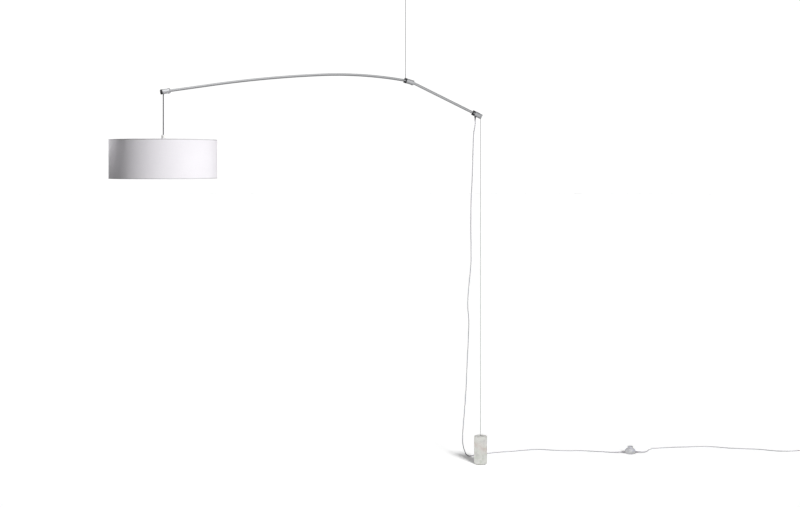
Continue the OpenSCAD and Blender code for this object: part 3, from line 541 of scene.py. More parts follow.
def finish(name, work, *look):
    # a material whose shader is set by one of the functions below, from the piece's coordinates
    paint = bpy.data.materials.new(name)
    paint.use_nodes = True
    work(paint.node_tree.nodes["Principled BSDF"],
        node(paint.node_tree, "ShaderNodeTexCoord").outputs, *look)
    return paint


def stretched(vector, scale, turn=(0, 0, 0)):
    return node(vector.id_data, "ShaderNodeMapping", {"Vector": vector, "Scale": scale,
        "Rotation": turn}).outputs[0]


def noiseNode(vector, scale, detail, rough=0.5, bend=0.0):
    return node(vector.id_data, "ShaderNodeTexNoise", {"Vector": vector, "Scale": scale,
        "Detail": detail, "Roughness": rough, "Distortion": bend}).outputs


def noise(*settings):
    return noiseNode(*settings)["Fac"]


def raised(height, strength, distance):
    return node(height.id_data, "ShaderNodeBump", {"Height": height, "Strength": strength,
        "Distance": distance}).outputs[0]


metalLooks = dict(
    chrome=dict(tone=(0.80, 0.81, 0.83), dark=(0.70, 0.71, 0.73), gloss=(0.045, 0.14),
        smudge=45, grain=(900, 900, 900), depth=0.00001),
    polished_aluminium=dict(tone=(0.80, 0.80, 0.81), dark=(0.68, 0.68, 0.70),
        gloss=(0.12, 0.24), smudge=60, grain=(1200, 300, 1200), depth=0.00002),
    steel=dict(tone=(0.60, 0.60, 0.62), dark=(0.44, 0.44, 0.46), gloss=(0.22, 0.38),
        smudge=120, grain=(700, 2400, 2400), depth=0.00002),
    brass=dict(tone=(0.78, 0.58, 0.27), dark=(0.58, 0.40, 0.17), gloss=(0.18, 0.36),
        smudge=90, grain=(1500, 1500, 400), depth=0.00002),
)


def metal(shader, coords, look):
    # smudges change the tone and the gloss, and fine grain lines lift the surface
    cloud = noise(coords["Object"], look["smudge"], 4.0, 0.6, 0.4)
    lines = noise(stretched(coords["Object"], look["grain"]), 1.0, 2.0)
    feed(shader, {"Metallic": 1.0, "Normal": raised(lines, 0.35, look["depth"]),
        "Base Color": ramp(cloud, [(0.35, look["dark"]), (0.6, look["tone"])]),
        "Roughness": spread(timesPlus(lines, 0.4, cloud), *look["gloss"], 0.45, 0.95)})


# the tube's lift factor lightens the right tube's copy of this finish as painted light
anodised = dict(tone=(0.66, 0.665, 0.68), dark=(0.58, 0.585, 0.60), gloss=(0.20, 0.32),
    streaks=(5.0, 90.0, 1.0), tubeStreaks=(5.0, 900.0, 900.0), depth=0.000008,
    tubeTurn=(0, math.radians(-26.5), 0), tubePaintedLight=1.2)


def brushedRod(shader, coords, turn=None, lift=1.0):
    # brushed along its length: noise drawn out along the tube gives tone, gloss and bump; lift
    # brightens both tones as painted light
    if turn is None:
        vector = stretched(coords["UV"], anodised["streaks"])
    else:
        vector = stretched(stretched(coords["Object"], (1, 1, 1), turn), anodised["tubeStreaks"])
    lines = noise(vector, 1.0, 5.0, 0.65)
    cloud = noise(coords["Object"], 9.0, 4.0, 0.6)
    dark, tone = (tuple(lift * c for c in anodised[key]) for key in ("dark", "tone"))
    feed(shader, {"Metallic": 1.0, "Anisotropic": 0.35,
        "Base Color": ramp(timesPlus(cloud, 0.35, times(lines, 0.65)), [(0.3, dark),
            (0.68, tone)]),
        "Roughness": spread(lines, *anodised["gloss"]),
        "Normal": raised(lines, 0.4, anodised["depth"])})


# groove is painted shade between the strands; middle and tone are the strands' own colour
rope = dict(tone=(0.065, 0.066, 0.069), middle=(0.04875, 0.0495, 0.05175),
    groove=(0.012, 0.012, 0.013), edge=0.3, pitch=0.0145, strands=6, wires=7, wireLay=2.4,
    gloss=(0.28, 0.45), depth=0.00005)


def wireRope(shader, coords):
    # painted shade darkens the rope between the strands, with the fine wires' lines crossing each
    # strand
    along, around, _ = parts(coords["UV"])
    lay = calc("DIVIDE", along, rope["pitch"])
    strand = calc("PINGPONG", times(calc("ADD", around, lay), rope["strands"]), 0.5)
    wire = wave(times(calc("SUBTRACT", around, times(lay, rope["wireLay"])),
        math.pi * rope["strands"] * rope["wires"]))
    worn = noise(coords["Object"], 30.0, 3.0)
    feed(shader, {"Metallic": 1.0, "Specular Tint": grey(rope["edge"]),
        "Base Color": ramp(timesPlus(wire, 0.06, times(strand, 2.0)), [(0.05, rope["groove"]),
            (0.45, rope["middle"]), (0.9, rope["tone"])]),
        "Roughness": spread(worn, *rope["gloss"]), "Normal": raised(wire, 0.5, rope["depth"])})


lacquer = dict(tone=(0.012, 0.012, 0.013), dusty=(0.045, 0.045, 0.047), gloss=(0.10, 0.26),
    coat=0.6, dust=260, peel=420, depth=0.00004)


def blackLacquer(shader, coords):
    # glossy black lacquer with faint orange peel and a trace of dust
    dust = noise(coords["Object"], lacquer["dust"], 5.0, 0.7)
    peel = noise(coords["Object"], lacquer["peel"], 2.0)
    feed(shader, {"Coat Weight": lacquer["coat"], "Coat Roughness": 0.05,
        "Base Color": ramp(dust, [(0.5, lacquer["tone"]), (0.85, lacquer["dusty"])]),
        "Roughness": spread(dust, *lacquer["gloss"], 0.35, 0.75),
        "Normal": raised(peel, 0.15, lacquer["depth"])})


plasticLooks = dict(
    white_plastic=dict(tone=(0.80, 0.80, 0.79), dark=(0.72, 0.72, 0.70), gloss=(0.26, 0.42),
        coat=0.15, under=0.08, depth=0.00004),
    nylon=dict(tone=(0.78, 0.77, 0.72), dark=(0.68, 0.67, 0.62), gloss=(0.38, 0.52), coat=0.0,
        under=0.1, depth=0.00005),
    clear_plastic=dict(tone=(0.60, 0.60, 0.625), dark=(0.50, 0.50, 0.53), gloss=(0.22, 0.38),
        coat=0.3, under=0.7, depth=0.00006),
    white_flex=dict(tone=(0.78, 0.78, 0.77), dark=(0.70, 0.70, 0.69), gloss=(0.38, 0.5),
        coat=0.0, under=0.05, depth=0.00004),
)


def plastic(shader, coords, look):
    # moulded plastic: slow change of tone, fine grain in gloss and height
    cloud = noise(coords["Object"], 40.0, 4.0, 0.55)
    grain = noise(coords["Object"], 1500.0, 2.0)
    feed(shader, {"Coat Weight": look["coat"], "Subsurface Weight": look["under"],
        "Subsurface Radius": (0.004, 0.004, 0.005), "Subsurface Scale": 0.5,
        "Base Color": ramp(cloud, [(0.35, look["dark"]), (0.65, look["tone"])]),
        "Roughness": spread(timesPlus(grain, 0.5, times(cloud, 0.5)), *look["gloss"], 0.35,
            0.65),
        "Normal": raised(grain, 0.25, look["depth"])})


clearLook = dict(sheath=(0.52, 0.51, 0.54), core=(0.37, 0.36, 0.40),
    between=(0.445, 0.435, 0.465), twist=0.034, strand=0.006, gloss=(0.18, 0.34))


def clearFlex(shader, coords):
    # clear sheath over two twisted cores: the cores show as slow spiral bands
    along, around, _ = parts(coords["UV"])
    spiral = wave(times(calc("ADD", around, calc("DIVIDE", along, clearLook["twist"])),
        4 * math.pi))
    strands = wave(times(calc("SUBTRACT", around, calc("DIVIDE", along, clearLook["strand"])),
        24 * math.pi))
    scuff = noise(stretched(coords["UV"], (60, 3, 1)), 3.0, 4.0)
    feed(shader, {"Coat Weight": 0.6, "Coat Roughness": 0.12, "Subsurface Weight": 0.15,
        "Subsurface Radius": (1.0, 1.0, 1.0), "Subsurface Scale": 0.0012,
        "Base Color": ramp(timesPlus(strands, 0.05, timesPlus(spiral, 0.38, 0.5)),
            [(0.1, clearLook["core"]), (0.4, clearLook["between"]),
            (0.75, clearLook["sheath"])], True),
        "Roughness": spread(scuff, *clearLook["gloss"]),
        "Normal": raised(scuff, 0.2, 0.00005)})


braidLook = dict(light=(0.115, 0.115, 0.119), dark=(0.04, 0.04, 0.042), pitch=0.0011, ends=20)


def braid(shader, coords):
    # two sets of threads crossing in spirals round the flex
    along, around, _ = parts(coords["UV"])
    around = times(around, 2 * math.pi * braidLook["ends"])
    down = times(along, math.pi / braidLook["pitch"])
    weave = calc("MAXIMUM", wave(calc("ADD", around, down)), wave(calc("SUBTRACT", around, down)))
    fuzz = noise(coords["Object"], 1800.0, 3.0)
    feed(shader, {"Roughness": 0.85, "Sheen Weight": 0.25,
        "Base Color": ramp(timesPlus(fuzz, 0.4, weave), [(0.2, braidLook["dark"]),
            (1.0, braidLook["light"])]),
        "Normal": raised(weave, 0.5, 0.0002)})


clothLooks = dict(
    shade_fabric=dict(light=(0.830, 0.810, 0.842), dark=(0.770, 0.748, 0.788), pitch=0.00075,
        seam=0.012, depth=0.00006),
    hem_tape=dict(light=(0.62, 0.61, 0.63), dark=(0.54, 0.53, 0.55), pitch=0.0006, seam=0,
        depth=0.00008),
)


def cloth(shader, coords, look):
    # plain weave on the piece's own measured lengths: warp and weft pass over each other in
    # turn, slubs thicken single threads, and the glued seam makes one raised upright line
    up, around, _ = parts(coords["UV"])
    pitch = look["pitch"]
    weave = timesPlus(times(wave(times(around, math.pi / pitch)),
        wave(times(up, math.pi / pitch))), 0.5, 0.5)
    weft = noise(stretched(coords["UV"], (1 / pitch / 1.5, 18, 1)), 1.0, 2.0)
    warp = noise(stretched(coords["UV"], (24, 1 / pitch / 1.5, 1)), 1.0, 2.0)
    slub = times(calc("ADD", weft, warp), 0.5)
    cloud = noise(coords["Object"], 7.0, 4.0, 0.6)
    tone = timesPlus(slub, 0.6, timesPlus(weave, 0.12, times(cloud, 0.28)))
    height = timesPlus(slub, 0.5, weave)
    if look["seam"]:
        height = timesPlus(calc("LESS_THAN", around, look["seam"]), 2.5, height)
    feed(shader, {"Roughness": 0.88, "Specular IOR Level": 0.25, "Sheen Weight": 0.12,
        "Base Color": ramp(tone, [(0.32, look["dark"]), (0.68, look["light"])]),
        "Normal": raised(height, 0.35, look["depth"])})


marbleLook = dict(ground=(0.71, 0.71, 0.675), pale=(0.78, 0.78, 0.75), green=(0.62, 0.65, 0.585),
    warm=(0.66, 0.585, 0.54), brown=(0.45, 0.35, 0.28), grey=(0.62, 0.625, 0.60),
    half=0.036, mottled=(0.05, 0.10), bandHeight=-2.552, bandSlope=0.45, bandWidth=0.024,
    spot=(-0.0155, -0.03, -2.641), spotWidth=0.011, veinWidth=0.012, gloss=(0.34, 0.22))


def marble(shader, coords):
    # pale ground with slow clouds, greenish mottling low down, one warm slanting band and thin
    # veins; every coordinate is bent by slow noise first
    look = marbleLook
    tree = shader.id_data
    bend = noiseNode(coords["Object"], 16.0, 5.0, 0.6)["Color"]
    bend = node(tree, "ShaderNodeVectorMath", {0: bend, 1: (0.5, 0.5, 0.5)},
        operation="SUBTRACT").outputs[0]
    moved = node(tree, "ShaderNodeVectorMath", {0: bend, 1: (0.03, 0.03, 0.03),
        2: coords["Object"]}, operation="MULTIPLY_ADD").outputs[0]
    right, _, up = parts(moved)
    cloud = noise(moved, 26.0, 6.0, 0.62)
    low = spread(up, 1.0, 0.0, *(floorHeight + height for height in look["mottled"]))
    mottle = spread(noise(moved, 55.0, 5.0, 0.6, 0.6), 0.0, 1.0, 0.46, 0.6)
    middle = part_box("stone")[0].x + look["half"]
    sideways, back, height = look["spot"]
    offset = calc("SUBTRACT", timesPlus(right, look["bandSlope"], up),
        look["bandHeight"] + look["bandSlope"] * middle)
    band = spread(calc("ABSOLUTE", offset), 1.0, 0.0, 0.0, look["bandWidth"])
    patch = spread(noise(moved, 34.0, 5.0, 0.6), 0.25, 1.0, 0.38, 0.6)
    far = node(tree, "ShaderNodeVectorMath", {0: moved, 1: (middle + sideways, back, height)},
        operation="DISTANCE").outputs["Value"]
    spot = times(spread(far, 1.0, 0.0, 0.0, look["spotWidth"]), mottle)
    thin = calc("ABSOLUTE", calc("SUBTRACT", noise(moved, 19.0, 4.0, 0.55, 0.8), 0.5))
    vein = spread(thin, 1.0, 0.0, 0.0, look["veinWidth"])
    colour = ramp(cloud, [(0.32, look["grey"]), (0.45, look["ground"]), (0.62, look["pale"])],
        True)
    for amount, share, tone in ((times(low, mottle), 0.75, "green"),
            (times(band, patch), 0.9, "warm"), (spot, 0.9, "brown"), (vein, 0.3, "brown")):
        colour = mixed(times(amount, share), colour, (*look[tone], 1))
    feed(shader, {"Base Color": colour, "Roughness": spread(cloud, *look["gloss"]),
        "Coat Weight": 0.15, "Subsurface Weight": 0.1, "Subsurface Radius": (1.0, 1.0, 0.9),
        "Subsurface Scale": 0.003, "Normal": raised(timesPlus(vein, -0.6, cloud), 0.15, 0.0002)})


opal = dict(light=(0.9, 0.9, 0.89), dark=(0.84, 0.84, 0.82), gloss=(0.12, 0.2), coat=0.8,
    under=0.3, depth=0.004)


def opalGlass(shader, coords):
    # flashed opal glass: milky, with a clear gloss over it
    cloud = noise(coords["Object"], 22.0, 3.0)
    feed(shader, {"Coat Weight": opal["coat"], "Subsurface Weight": opal["under"],
        "Subsurface Radius": (1.0, 1.0, 1.0), "Subsurface Scale": opal["depth"],
        "Base Color": ramp(cloud, [(0.3, opal["dark"]), (0.7, opal["light"])]),
        "Roughness": spread(cloud, *opal["gloss"])})


powderCoat = dict(light=(0.82, 0.82, 0.82), dark=(0.7, 0.7, 0.7), gloss=(0.4, 0.6),
    depth=0.0001)


def coatedWire(shader, coords):
    # white powder coat on the shade's wires
    grain = noise(coords["Object"], 900.0, 3.0)
    feed(shader, {"Base Color": ramp(grain, [(0.3, powderCoat["dark"]),
            (0.7, powderCoat["light"])]),
        "Roughness": spread(grain, *powderCoat["gloss"]),
        "Normal": raised(grain, 0.3, powderCoat["depth"])})


feltLook = dict(light=(0.09, 0.09, 0.095), dark=(0.02, 0.02, 0.022), depth=0.0004)


def felt(shader, coords):
    # pressed felt: short tangled fibres
    fibre = noise(stretched(coords["Object"], (1, 1, 6)), 700.0, 6.0, 0.7, 1.5)
    feed(shader, {"Roughness": 0.95, "Sheen Weight": 0.4,
        "Base Color": ramp(fibre, [(0.3, feltLook["dark"]), (0.7, feltLook["light"])]),
        "Normal": raised(fibre, 0.6, feltLook["depth"])})


# finish by the record's slot name
finishes = {name: finish(name, work, look) for work, looks in ((metal, metalLooks),
    (plastic, plasticLooks), (cloth, clothLooks)) for name, look in looks.items()}
finishes.update({name: finish(name, work) for name, work in dict(arm_aluminium=brushedRod,
    wire_rope=wireRope, shade_wire=coatedWire, gloss_black=blackLacquer, opal_glass=opalGlass,
    marble=marble, felt=felt, grey_flex=braid, clear_flex=clearFlex).items()})
# the right tube: the rod's finish turned along the tube and lightened as painted light
tubeFinish = finish("tube_aluminium", brushedRod, anodised["tubeTurn"], anodised["tubePaintedLight"])
print("finishes ready:", len(finishes))


def dress(piece, slot, body, *stood):
    # gives a new piece its finish and its body, and hides the nodes that it stands for
    piece.data.materials.clear()
    piece.data.materials.append(finishes[slot])
    if body:
        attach(piece, body)
    if stood:
        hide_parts(*stood)
    return piece


nodeSlots = {name: thing.data.materials[0].name.split(".")[0]
    for name, thing in frame["nodes"].items()}
for name, thing in frame["nodes"].items():
    thing.material_slots[0].material = finishes[nodeSlots[name]]
frame["nodes"]["right_tube"].material_slots[0].material = tubeFinish


def bodyOf(name):
    return frame["nodes"][name]["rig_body"]


def standIn(piece, name):
    # the piece takes the slot, body and place of a node
    return dress(piece, nodeSlots[name], bodyOf(name), name)


def measured(name):
    # a node's low and high corners, half its width and its height
    low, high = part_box(name)
    return low, high, (high.x - low.x) / 2, high.z - low.z


# turned and drawn metal: the nodes' own shapes with their edges broken
machined = dict(
    bevel=0.0004, sharp=32, merge=2e-6, flat=0.6,
    names="ceiling_plate ceiling_cup cable_nipple cable_eye pivot_pin pivot_collar pivot_sleeve"
        " pivot_nose pivot_screw left_sleeve left_end_cap left_bush left_screws"
        " pendant_trunnion swing_pin flex_ferrule right_ring right_sleeve right_screws"
        " right_end_plug cord_gland cable_barrel stone_ferrule stone_anchor switch_block"
        " switch_base holder_cap holder_skirt bulb_cap thread_shell".split(),
)


def breakEdges(name):
    # doubles merged and flat facets joined, then a narrow two-step bevel on the sharp edges
    mesh = frame["nodes"][name].data.copy()
    mesh.name = name + "Finished"
    if "custom_normal" in mesh.attributes:
        mesh.attributes.remove(mesh.attributes["custom_normal"])
    work = bmesh.new()
    work.from_mesh(mesh)
    bmesh.ops.remove_doubles(work, verts=work.verts, dist=machined["merge"])
    bmesh.ops.dissolve_limit(work, angle_limit=math.radians(machined["flat"]),
        verts=work.verts, edges=work.edges)
    work.to_mesh(mesh)
    work.free()
    mesh.shade_smooth()
    sharp = math.radians(machined["sharp"])
    mesh.set_sharp_from_angle(angle=sharp)
    piece = placed(name + "Finished", mesh)
    edge = piece.modifiers.new("edge", "BEVEL")
    edge.width, edge.segments, edge.harden_normals = machined["bevel"], 2, True
    edge.limit_method, edge.angle_limit = "ANGLE", sharp
    return standIn(piece, name)


for name in machined["names"]:
    breakEdges(name)
print("metalwork finished")

# arm: bowed rod, its flex and the two cables
arm = dict(
    rootHeight=-0.5285, fall=9.5, stub=0.024, lead=0.025,
    near=(0.450, 12.0), far=(0.600, 5.5), tail=0.260,
    outer=0.007, inner=0.006, sides=56, spacing=0.006,
    gland=(0.386001, -0.712839), glandSkin=0.015085, corner=0.004, tubeFall=26.5,
    flexRadius=0.0025, flexSides=16, flexStart=0.003, flexOut=0.004, flexSpacing=0.004,
)


def rodLine():
    # the slope falls evenly over each bend, and a point is the running sum of short steps
    (nearLength, nearTurn), (farLength, farTurn) = arm["near"], arm["far"]
    total = arm["lead"] + nearLength + farLength + arm["tail"]
    s = np.linspace(0, total, 5001)
    slope = (arm["fall"] - nearTurn * np.clip((s - arm["lead"]) / nearLength, 0, 1)
        - farTurn * np.clip((s - arm["lead"] - nearLength) / farLength, 0, 1))
    middle = np.radians((slope[1:] + slope[:-1]) / 2)
    x = -np.append(0, np.cumsum(np.cos(middle))) * s[1]
    z = arm["rootHeight"] + np.append(0, np.cumsum(np.sin(middle))) * s[1]
    line = np.stack([x, 0 * x, z], -1)
    fall = math.radians(arm["fall"])
    stub = line[0] + arm["stub"] * np.array([math.cos(fall), 0, -math.sin(fall)])
    return evenLine(np.concatenate([stub[None], line]), arm["spacing"])


rod = pipe("bowedRod", rodLine(), arm["outer"], arm["inner"], arm["sides"], (0, 1, 0))
standIn(rod, "bowed_rod")


def innerFlexLine():
    # up through the gland, along the tube and the rod, and a little way out of its far end
    x, z = arm["gland"]
    fall = math.radians(arm["tubeFall"])
    along = np.array([math.cos(fall), 0, -math.sin(fall)])
    bend = np.array([x, 0, z])
    rodPart = rodLine()
    beyond = rodPart[-1] + arm["flexOut"] * unit(rodPart[-1] - rodPart[-2])
    start = bend - (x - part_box("right_tube")[0].x - arm["flexStart"]) / along[0] * along
    return evenLine(np.concatenate([[(x, 0, z - arm["glandSkin"]), (x, 0, z - arm["corner"]),
        bend - arm["corner"] * along, start], rodPart[2:], [beyond]]), arm["flexSpacing"])


innerFlex = tube("innerFlex", innerFlexLine(), arm["flexRadius"], arm["flexSides"], (0, 1, 0))
standIn(innerFlex, "inner_flex")

ringScrew = dict(radius=0.0040, sunk=0.0014, dome=0.0013, sweep=0.9, hex=0.0017, deep=0.0009,
    sides=48, setIn=0.0005, rings=(("pivot_collar", -0.0028, -0.5293),
        ("right_ring", 0.3802, -0.7104)))


def screwHead(name, x, z, reach, side):
    # a low dome, its radius falling to the rim of a six-sided socket and down into it; the
    # last rings are a hexagon: the half width over the cosine of the angle from a flat
    look, dome = ringScrew, ringScrew["dome"]
    t = np.linspace(0, look["sweep"], 7)
    r = np.concatenate([[1, 1], np.cos(t) ** 0.8, [0, 0, 0]]) * look["radius"]
    h = np.concatenate([[-look["sunk"], 0.0], dome * np.sin(t) / math.sin(look["sweep"]),
        [dome - 0.00005, dome - 0.0002, dome - look["deep"]]])
    angle = circle(look["sides"])
    flat = look["hex"] / np.cos((angle + np.pi / 6) % (np.pi / 3) - np.pi / 6)
    radius = np.where(np.arange(len(r))[:, None] < len(r) - 3, r[:, None], flat[None, :])
    out = side * (reach + h)[:, None] + 0 * angle
    rings = np.stack([x + radius * np.cos(angle), out, z - side * radius * np.sin(angle)], -1)
    dress(skin(name, rings), "chrome", "arm")


for ring, x, z in ringScrew["rings"]:
    for side, label in ((-1, "Front"), (1, "Back")):
        screwHead(ring + label + "Screw", x, z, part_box(ring)[1].y - ringScrew["setIn"], side)

cable = dict(sides=36, spacing=0.0009, groove=0.12, stoneRadius=0.001, stop=(0.0022, 0.004),
    stopEdge=0.0007, stopSides=32)


def ropeBetween(name, x, low, high, radius, stood):
    # six strands: the radius dips six times round the rope, and the dips turn with height
    height = np.linspace(low, high, round((high - low) / cable["spacing"]))
    line = np.stack([x + 0 * height, 0 * height, height], -1)
    phase = circle(cable["sides"])[None, :] + 2 * np.pi * (height - low)[:, None] / rope["pitch"]
    width = radius * (1 - cable["groove"] + cable["groove"]
        * np.sqrt(np.abs(np.sin(rope["strands"] / 2 * phase))))
    standIn(tube(name, line, width, cable["sides"], (0, 1, 0)), stood)


low, high, half, _ = measured("ceiling_cable")
ropeBetween("ceilingRope", 0.0, low.z, high.z, half, "ceiling_cable")
low, high, _, _ = measured("counterweight_cable")
stoneX = (low.x + high.x) / 2
(wide, tall), soft = cable["stop"], cable["stopEdge"]
ropeBetween("stoneRope", stoneX, low.z, high.z - tall, cable["stoneRadius"],
    "counterweight_cable")
stop = turned("ropeStop", rounded([(0, -tall), (wide, -tall), (wide, 0), (0, 0)], soft, 5,
    False), (stoneX, 0, high.z), cable["stopSides"])
dress(stop, "steel", bodyOf("counterweight_cable"))
print("arm and cables ready")

# tapered reliefs
relief = dict(rib=0.0036, groove=0.00075, plain=0.0015, sides=32, steps=120, tip=0.00325,
    arm=0.004, switch=0.0047, ends=(0.0004, 0.0002))


def ribs(distance):
    # narrow grooves at even steps: 0 between them and 1 in the middle of each
    return (0.5 - 0.5 * np.cos(2 * np.pi * distance / relief["rib"])) ** 3


def ribbedRelief(name, start, way, length, wide, stood):
    # a cone whose radius dips at even steps, plain at both ends
    plain = relief["plain"]
    s = np.linspace(0, length, relief["steps"])
    line = np.array(start) + s[:, None] * np.array(way, float)
    cone = wide + (relief["tip"] - wide) * s / length
    inside = ease(s, plain, 2.5 * plain) * (1 - ease(s, length - 2.5 * plain, length - plain))
    radius = cone - relief["groove"] * ribs(s - plain) * inside
    radius[[0, -1]] -= relief["ends"]
    standIn(tube(name, line, radius[:, None], relief["sides"], (0, 1, 0.01)), stood)


_, high, _, tall = measured("arm_relief")
ribbedRelief("armRelief", (arm["gland"][0], 0, high.z), (0, 0, -1), tall, relief["arm"],
    "arm_relief")

# foot switch: reliefs, cover shell and button; radius and height of the shoulder's outline,
# and the same of the lip round the button, counted from the hole's edge
switch = dict(at=(1.290, 0.226), radius=0.030, reliefLength=0.025, gland=0.0085, sides=96,
    wall=0.002, seat=0.0070, roof=0.0280, hole=0.01505, spacing=0.0009,
    shoulder=[(0.0300, 0.0070), (0.0300, 0.0110), (0.0300, 0.0150), (0.0290, 0.0190),
        (0.0270, 0.0230), (0.0240, 0.0268), (0.0200, 0.0293), (0.0175, 0.0299)],
    lip=[(0.0007, 0.0300), (0.0002, 0.0297), (0, 0.0292), (0, 0.0284), (0.0004, 0.0280)],
    button=0.015, skirt=0.0200, top=0.0420, dish=0.0095, rim=0.0415, dip=0.0007,
    buttonEdges=[0, 0.0008, 0.0032, 0])
switchFoot = (*switch["at"], floorHeight)
for side, label in ((1, "Right"), (-1, "Left")):
    start = np.array(switchFoot) + [side * (switch["radius"] - 0.001), 0, switch["gland"]]
    ribbedRelief("switchRelief" + label, start, (side, 0, 0), switch["reliefLength"],
        relief["switch"], "switch_reliefs")


def switchCover():
    # the shoulder's smooth outline outside, the same moved in by the wall inside
    outside = smoothOutline(switch["shoulder"], switch["spacing"])
    step = np.gradient(outside, axis=0)
    inside = outside + switch["wall"] * unit(np.stack([-step[:, 1], step[:, 0]], -1))
    inside[:, 1] = np.clip(inside[:, 1], switch["seat"], switch["roof"])
    lip = np.array(switch["lip"]) + [switch["hole"], 0]
    return turned("switchCover", np.concatenate([outside, lip, inside[::-1]]), switchFoot,
        switch["sides"], True)


def switchButton():
    # upright side, a soft shoulder and a shallow dish in the middle for the toe
    t = np.linspace(0, 1, 24)
    dish, rim, edge = switch["dish"], switch["rim"], switch["button"]
    floorOf = np.stack([dish * (1 - t), rim - switch["dip"] * np.sin(np.pi / 2 * t) ** 2], -1)
    side = rounded([(0, switch["skirt"]), (edge, switch["skirt"]), (edge, switch["top"]),
        (dish, rim)], switch["buttonEdges"], 8, False)
    return turned("switchButton", np.concatenate([side[:-1], floorOf]), switchFoot,
        switch["sides"])


standIn(switchCover(), "switch_cover")
standIn(switchButton(), "switch_button")
print("foot switch ready")

# pendant flex, grip, shade nut and bulb; the outline of the bulb's neck is radius and height
pendant = dict(flexRadius=0.003, sides=24, bore=0.00302, intoCap=0.005, spacing=0.004, gripSides=64,
    gripEdges=[0.0002, 0.0006, 0.0022, 0.0004])
nut = dict(clearance=0.00002, sides=192, grooves=24, depth=0.0007, rim=(0.002, 0.0008),
    edges=[0.0003, 0.0008, 0.0008, 0.0003])
bulb = dict(radius=0.030, drop=0.052, low=-88, shoulder=32, spacing=0.0012, sides=96,
    neck=[(0.0213, -0.0285), (0.0177, -0.018), (0.0148, -0.009), (0.0133, -0.003), (0.0132, 0)])
low, high, _, _ = measured("pendant_flex")
pendantX = (low.x + high.x) / 2
pendantLine = evenLine(np.array([[pendantX, 0, low.z], [pendantX, 0, high.z
    - pendant["intoCap"]]]), pendant["spacing"])
standIn(tube("pendantFlex", pendantLine, pendant["flexRadius"], pendant["sides"], (0, 1, 0)),
    "pendant_flex")


def cordGrip():
    # a plain round sleeve, softest at its upper outer edge
    low, _, half, tall = measured("cord_grip")
    bore = pendant["bore"]
    return turned("cordGrip", rounded([(bore, 0.0), (half, 0.0), (half, tall), (bore, tall)],
        pendant["gripEdges"], 6), (pendantX, 0, low.z), pendant["gripSides"], True)


def holderNut():
    # a threaded ring with finger grooves: the radius dips at even steps round the rim
    low, _, outer, tall = measured("shade_nut")
    bore = measured("holder_skirt")[2] + nut["clearance"]
    profile = rounded([(bore, 0), (outer, 0), (outer, tall), (bore, tall)],
        nut["edges"], 4)
    angle = circle(nut["sides"])
    rim = ease(profile[:, 0:1], outer - nut["rim"][0], outer - nut["rim"][1])
    r = profile[:, 0:1] - rim * nut["depth"] * (0.5 - 0.5 * np.cos(nut["grooves"] * angle)) ** 2
    rings = lathe(r, profile[:, 1:2], angle, (pendantX, 0, low.z))
    return skin("shadeNut", rings, None, True)


def bulbGlass():
    # a ball below a shoulder that narrows smoothly to the neck
    a = np.radians(np.linspace(bulb["low"], bulb["shoulder"], 40))
    ball = np.stack([bulb["radius"] * np.cos(a), bulb["radius"] * np.sin(a) - bulb["drop"]], -1)
    outline = smoothOutline(np.concatenate([ball, bulb["neck"]]), bulb["spacing"])
    return turned("bulbGlass", outline, (pendantX, 0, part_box("bulb_glass")[1].z), bulb["sides"])


standIn(cordGrip(), "cord_grip")
standIn(holderNut(), "shade_nut")
standIn(bulbGlass(), "bulb_glass")
print("pendant ready")

# drum shade: laminate and hem tapes
shade = dict(sides=360, tape=0.0004, laminate=0.001, hem=0.005, longest=0.012, edge=0.0002,
    hemEdges=[0.0001, 0.0001, 0.0003, 0.0001, 0.0001, 0.00005])


def evenProfile(profile, longest):
    # long edges of a closed profile split so that no step is longer than a given length
    closed = np.concatenate([profile, profile[:1]])
    edge = np.diff(closed, axis=0)
    count = np.maximum(1, np.ceil(np.linalg.norm(edge, axis=1) / longest).astype(int))
    share = np.arange(count.sum()) - np.repeat(np.cumsum(count) - count, count)
    return (np.repeat(profile, count, axis=0)
        + np.repeat(edge, count, axis=0) * (share / np.repeat(count, count))[:, None])


def shadePiece(name, corners, radii, centre):
    # a thin ring profile turned once, its texture laid out in metres round and up
    profile = evenProfile(rounded(corners, radii, 4), shade["longest"])
    rings = lathe(profile[:, 0:1], profile[:, 1:2], math.pi / 2 + circle(shade["sides"]), centre)
    piece = skin(name, rings, distanceAlong(profile), True)
    layer = piece.data.uv_layers[0].data
    flat = np.zeros(len(layer) * 2, np.float32)
    layer.foreach_get("uv", flat)
    pitch = 2 * clothLooks["shade_fabric"]["pitch"]
    flat[1::2] *= pitch * round(2 * math.pi * profile[:, 0].max() / pitch)
    layer.foreach_set("uv", flat)
    return piece


low, _, _, tall = measured("shade_panel")
tape, hem = shade["tape"], shade["hem"]
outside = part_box("top_hem")[1].x - pendantX
middle = outside - tape
inner = middle - shade["laminate"]
standIn(shadePiece("shadePanel", [(inner, 0), (middle, 0), (middle, tall), (inner, tall)],
    shade["edge"], (pendantX, 0, low.z)), "shade_panel")
for name, label, sign, edge in (("top_hem", "topHem", -1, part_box("top_hem")[1].z),
        ("bottom_hem", "bottomHem", 1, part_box("bottom_hem")[0].z)):
    corners = [(middle, sign * hem), (outside, sign * hem), (outside, 0), (inner, 0),
        (inner, sign * tape), (middle, sign * tape)]
    standIn(shadePiece(label, corners, shade["hemEdges"], (pendantX, 0, edge)), name)
print("shade ready")

# stone: a drum with a bore and a recess below, its outer edges eased
stoneCut = dict(bore=0.003, recess=0.012, depth=0.010, sides=160,
    edges=[0.0006, 0.0002, 0.0002, 0.0008, 0.0016, 0.0016])
low, _, half, tall = measured("stone")
bore, recess, depth = (stoneCut[key] for key in ("bore", "recess", "depth"))
stone = turned("stoneWeight", rounded([(bore, tall), (bore, depth), (recess, depth),
    (recess, 0), (half, 0), (half, tall)], stoneCut["edges"], 6), (stoneX, 0, low.z),
    stoneCut["sides"], True)
standIn(stone, "stone")
print("stone ready")

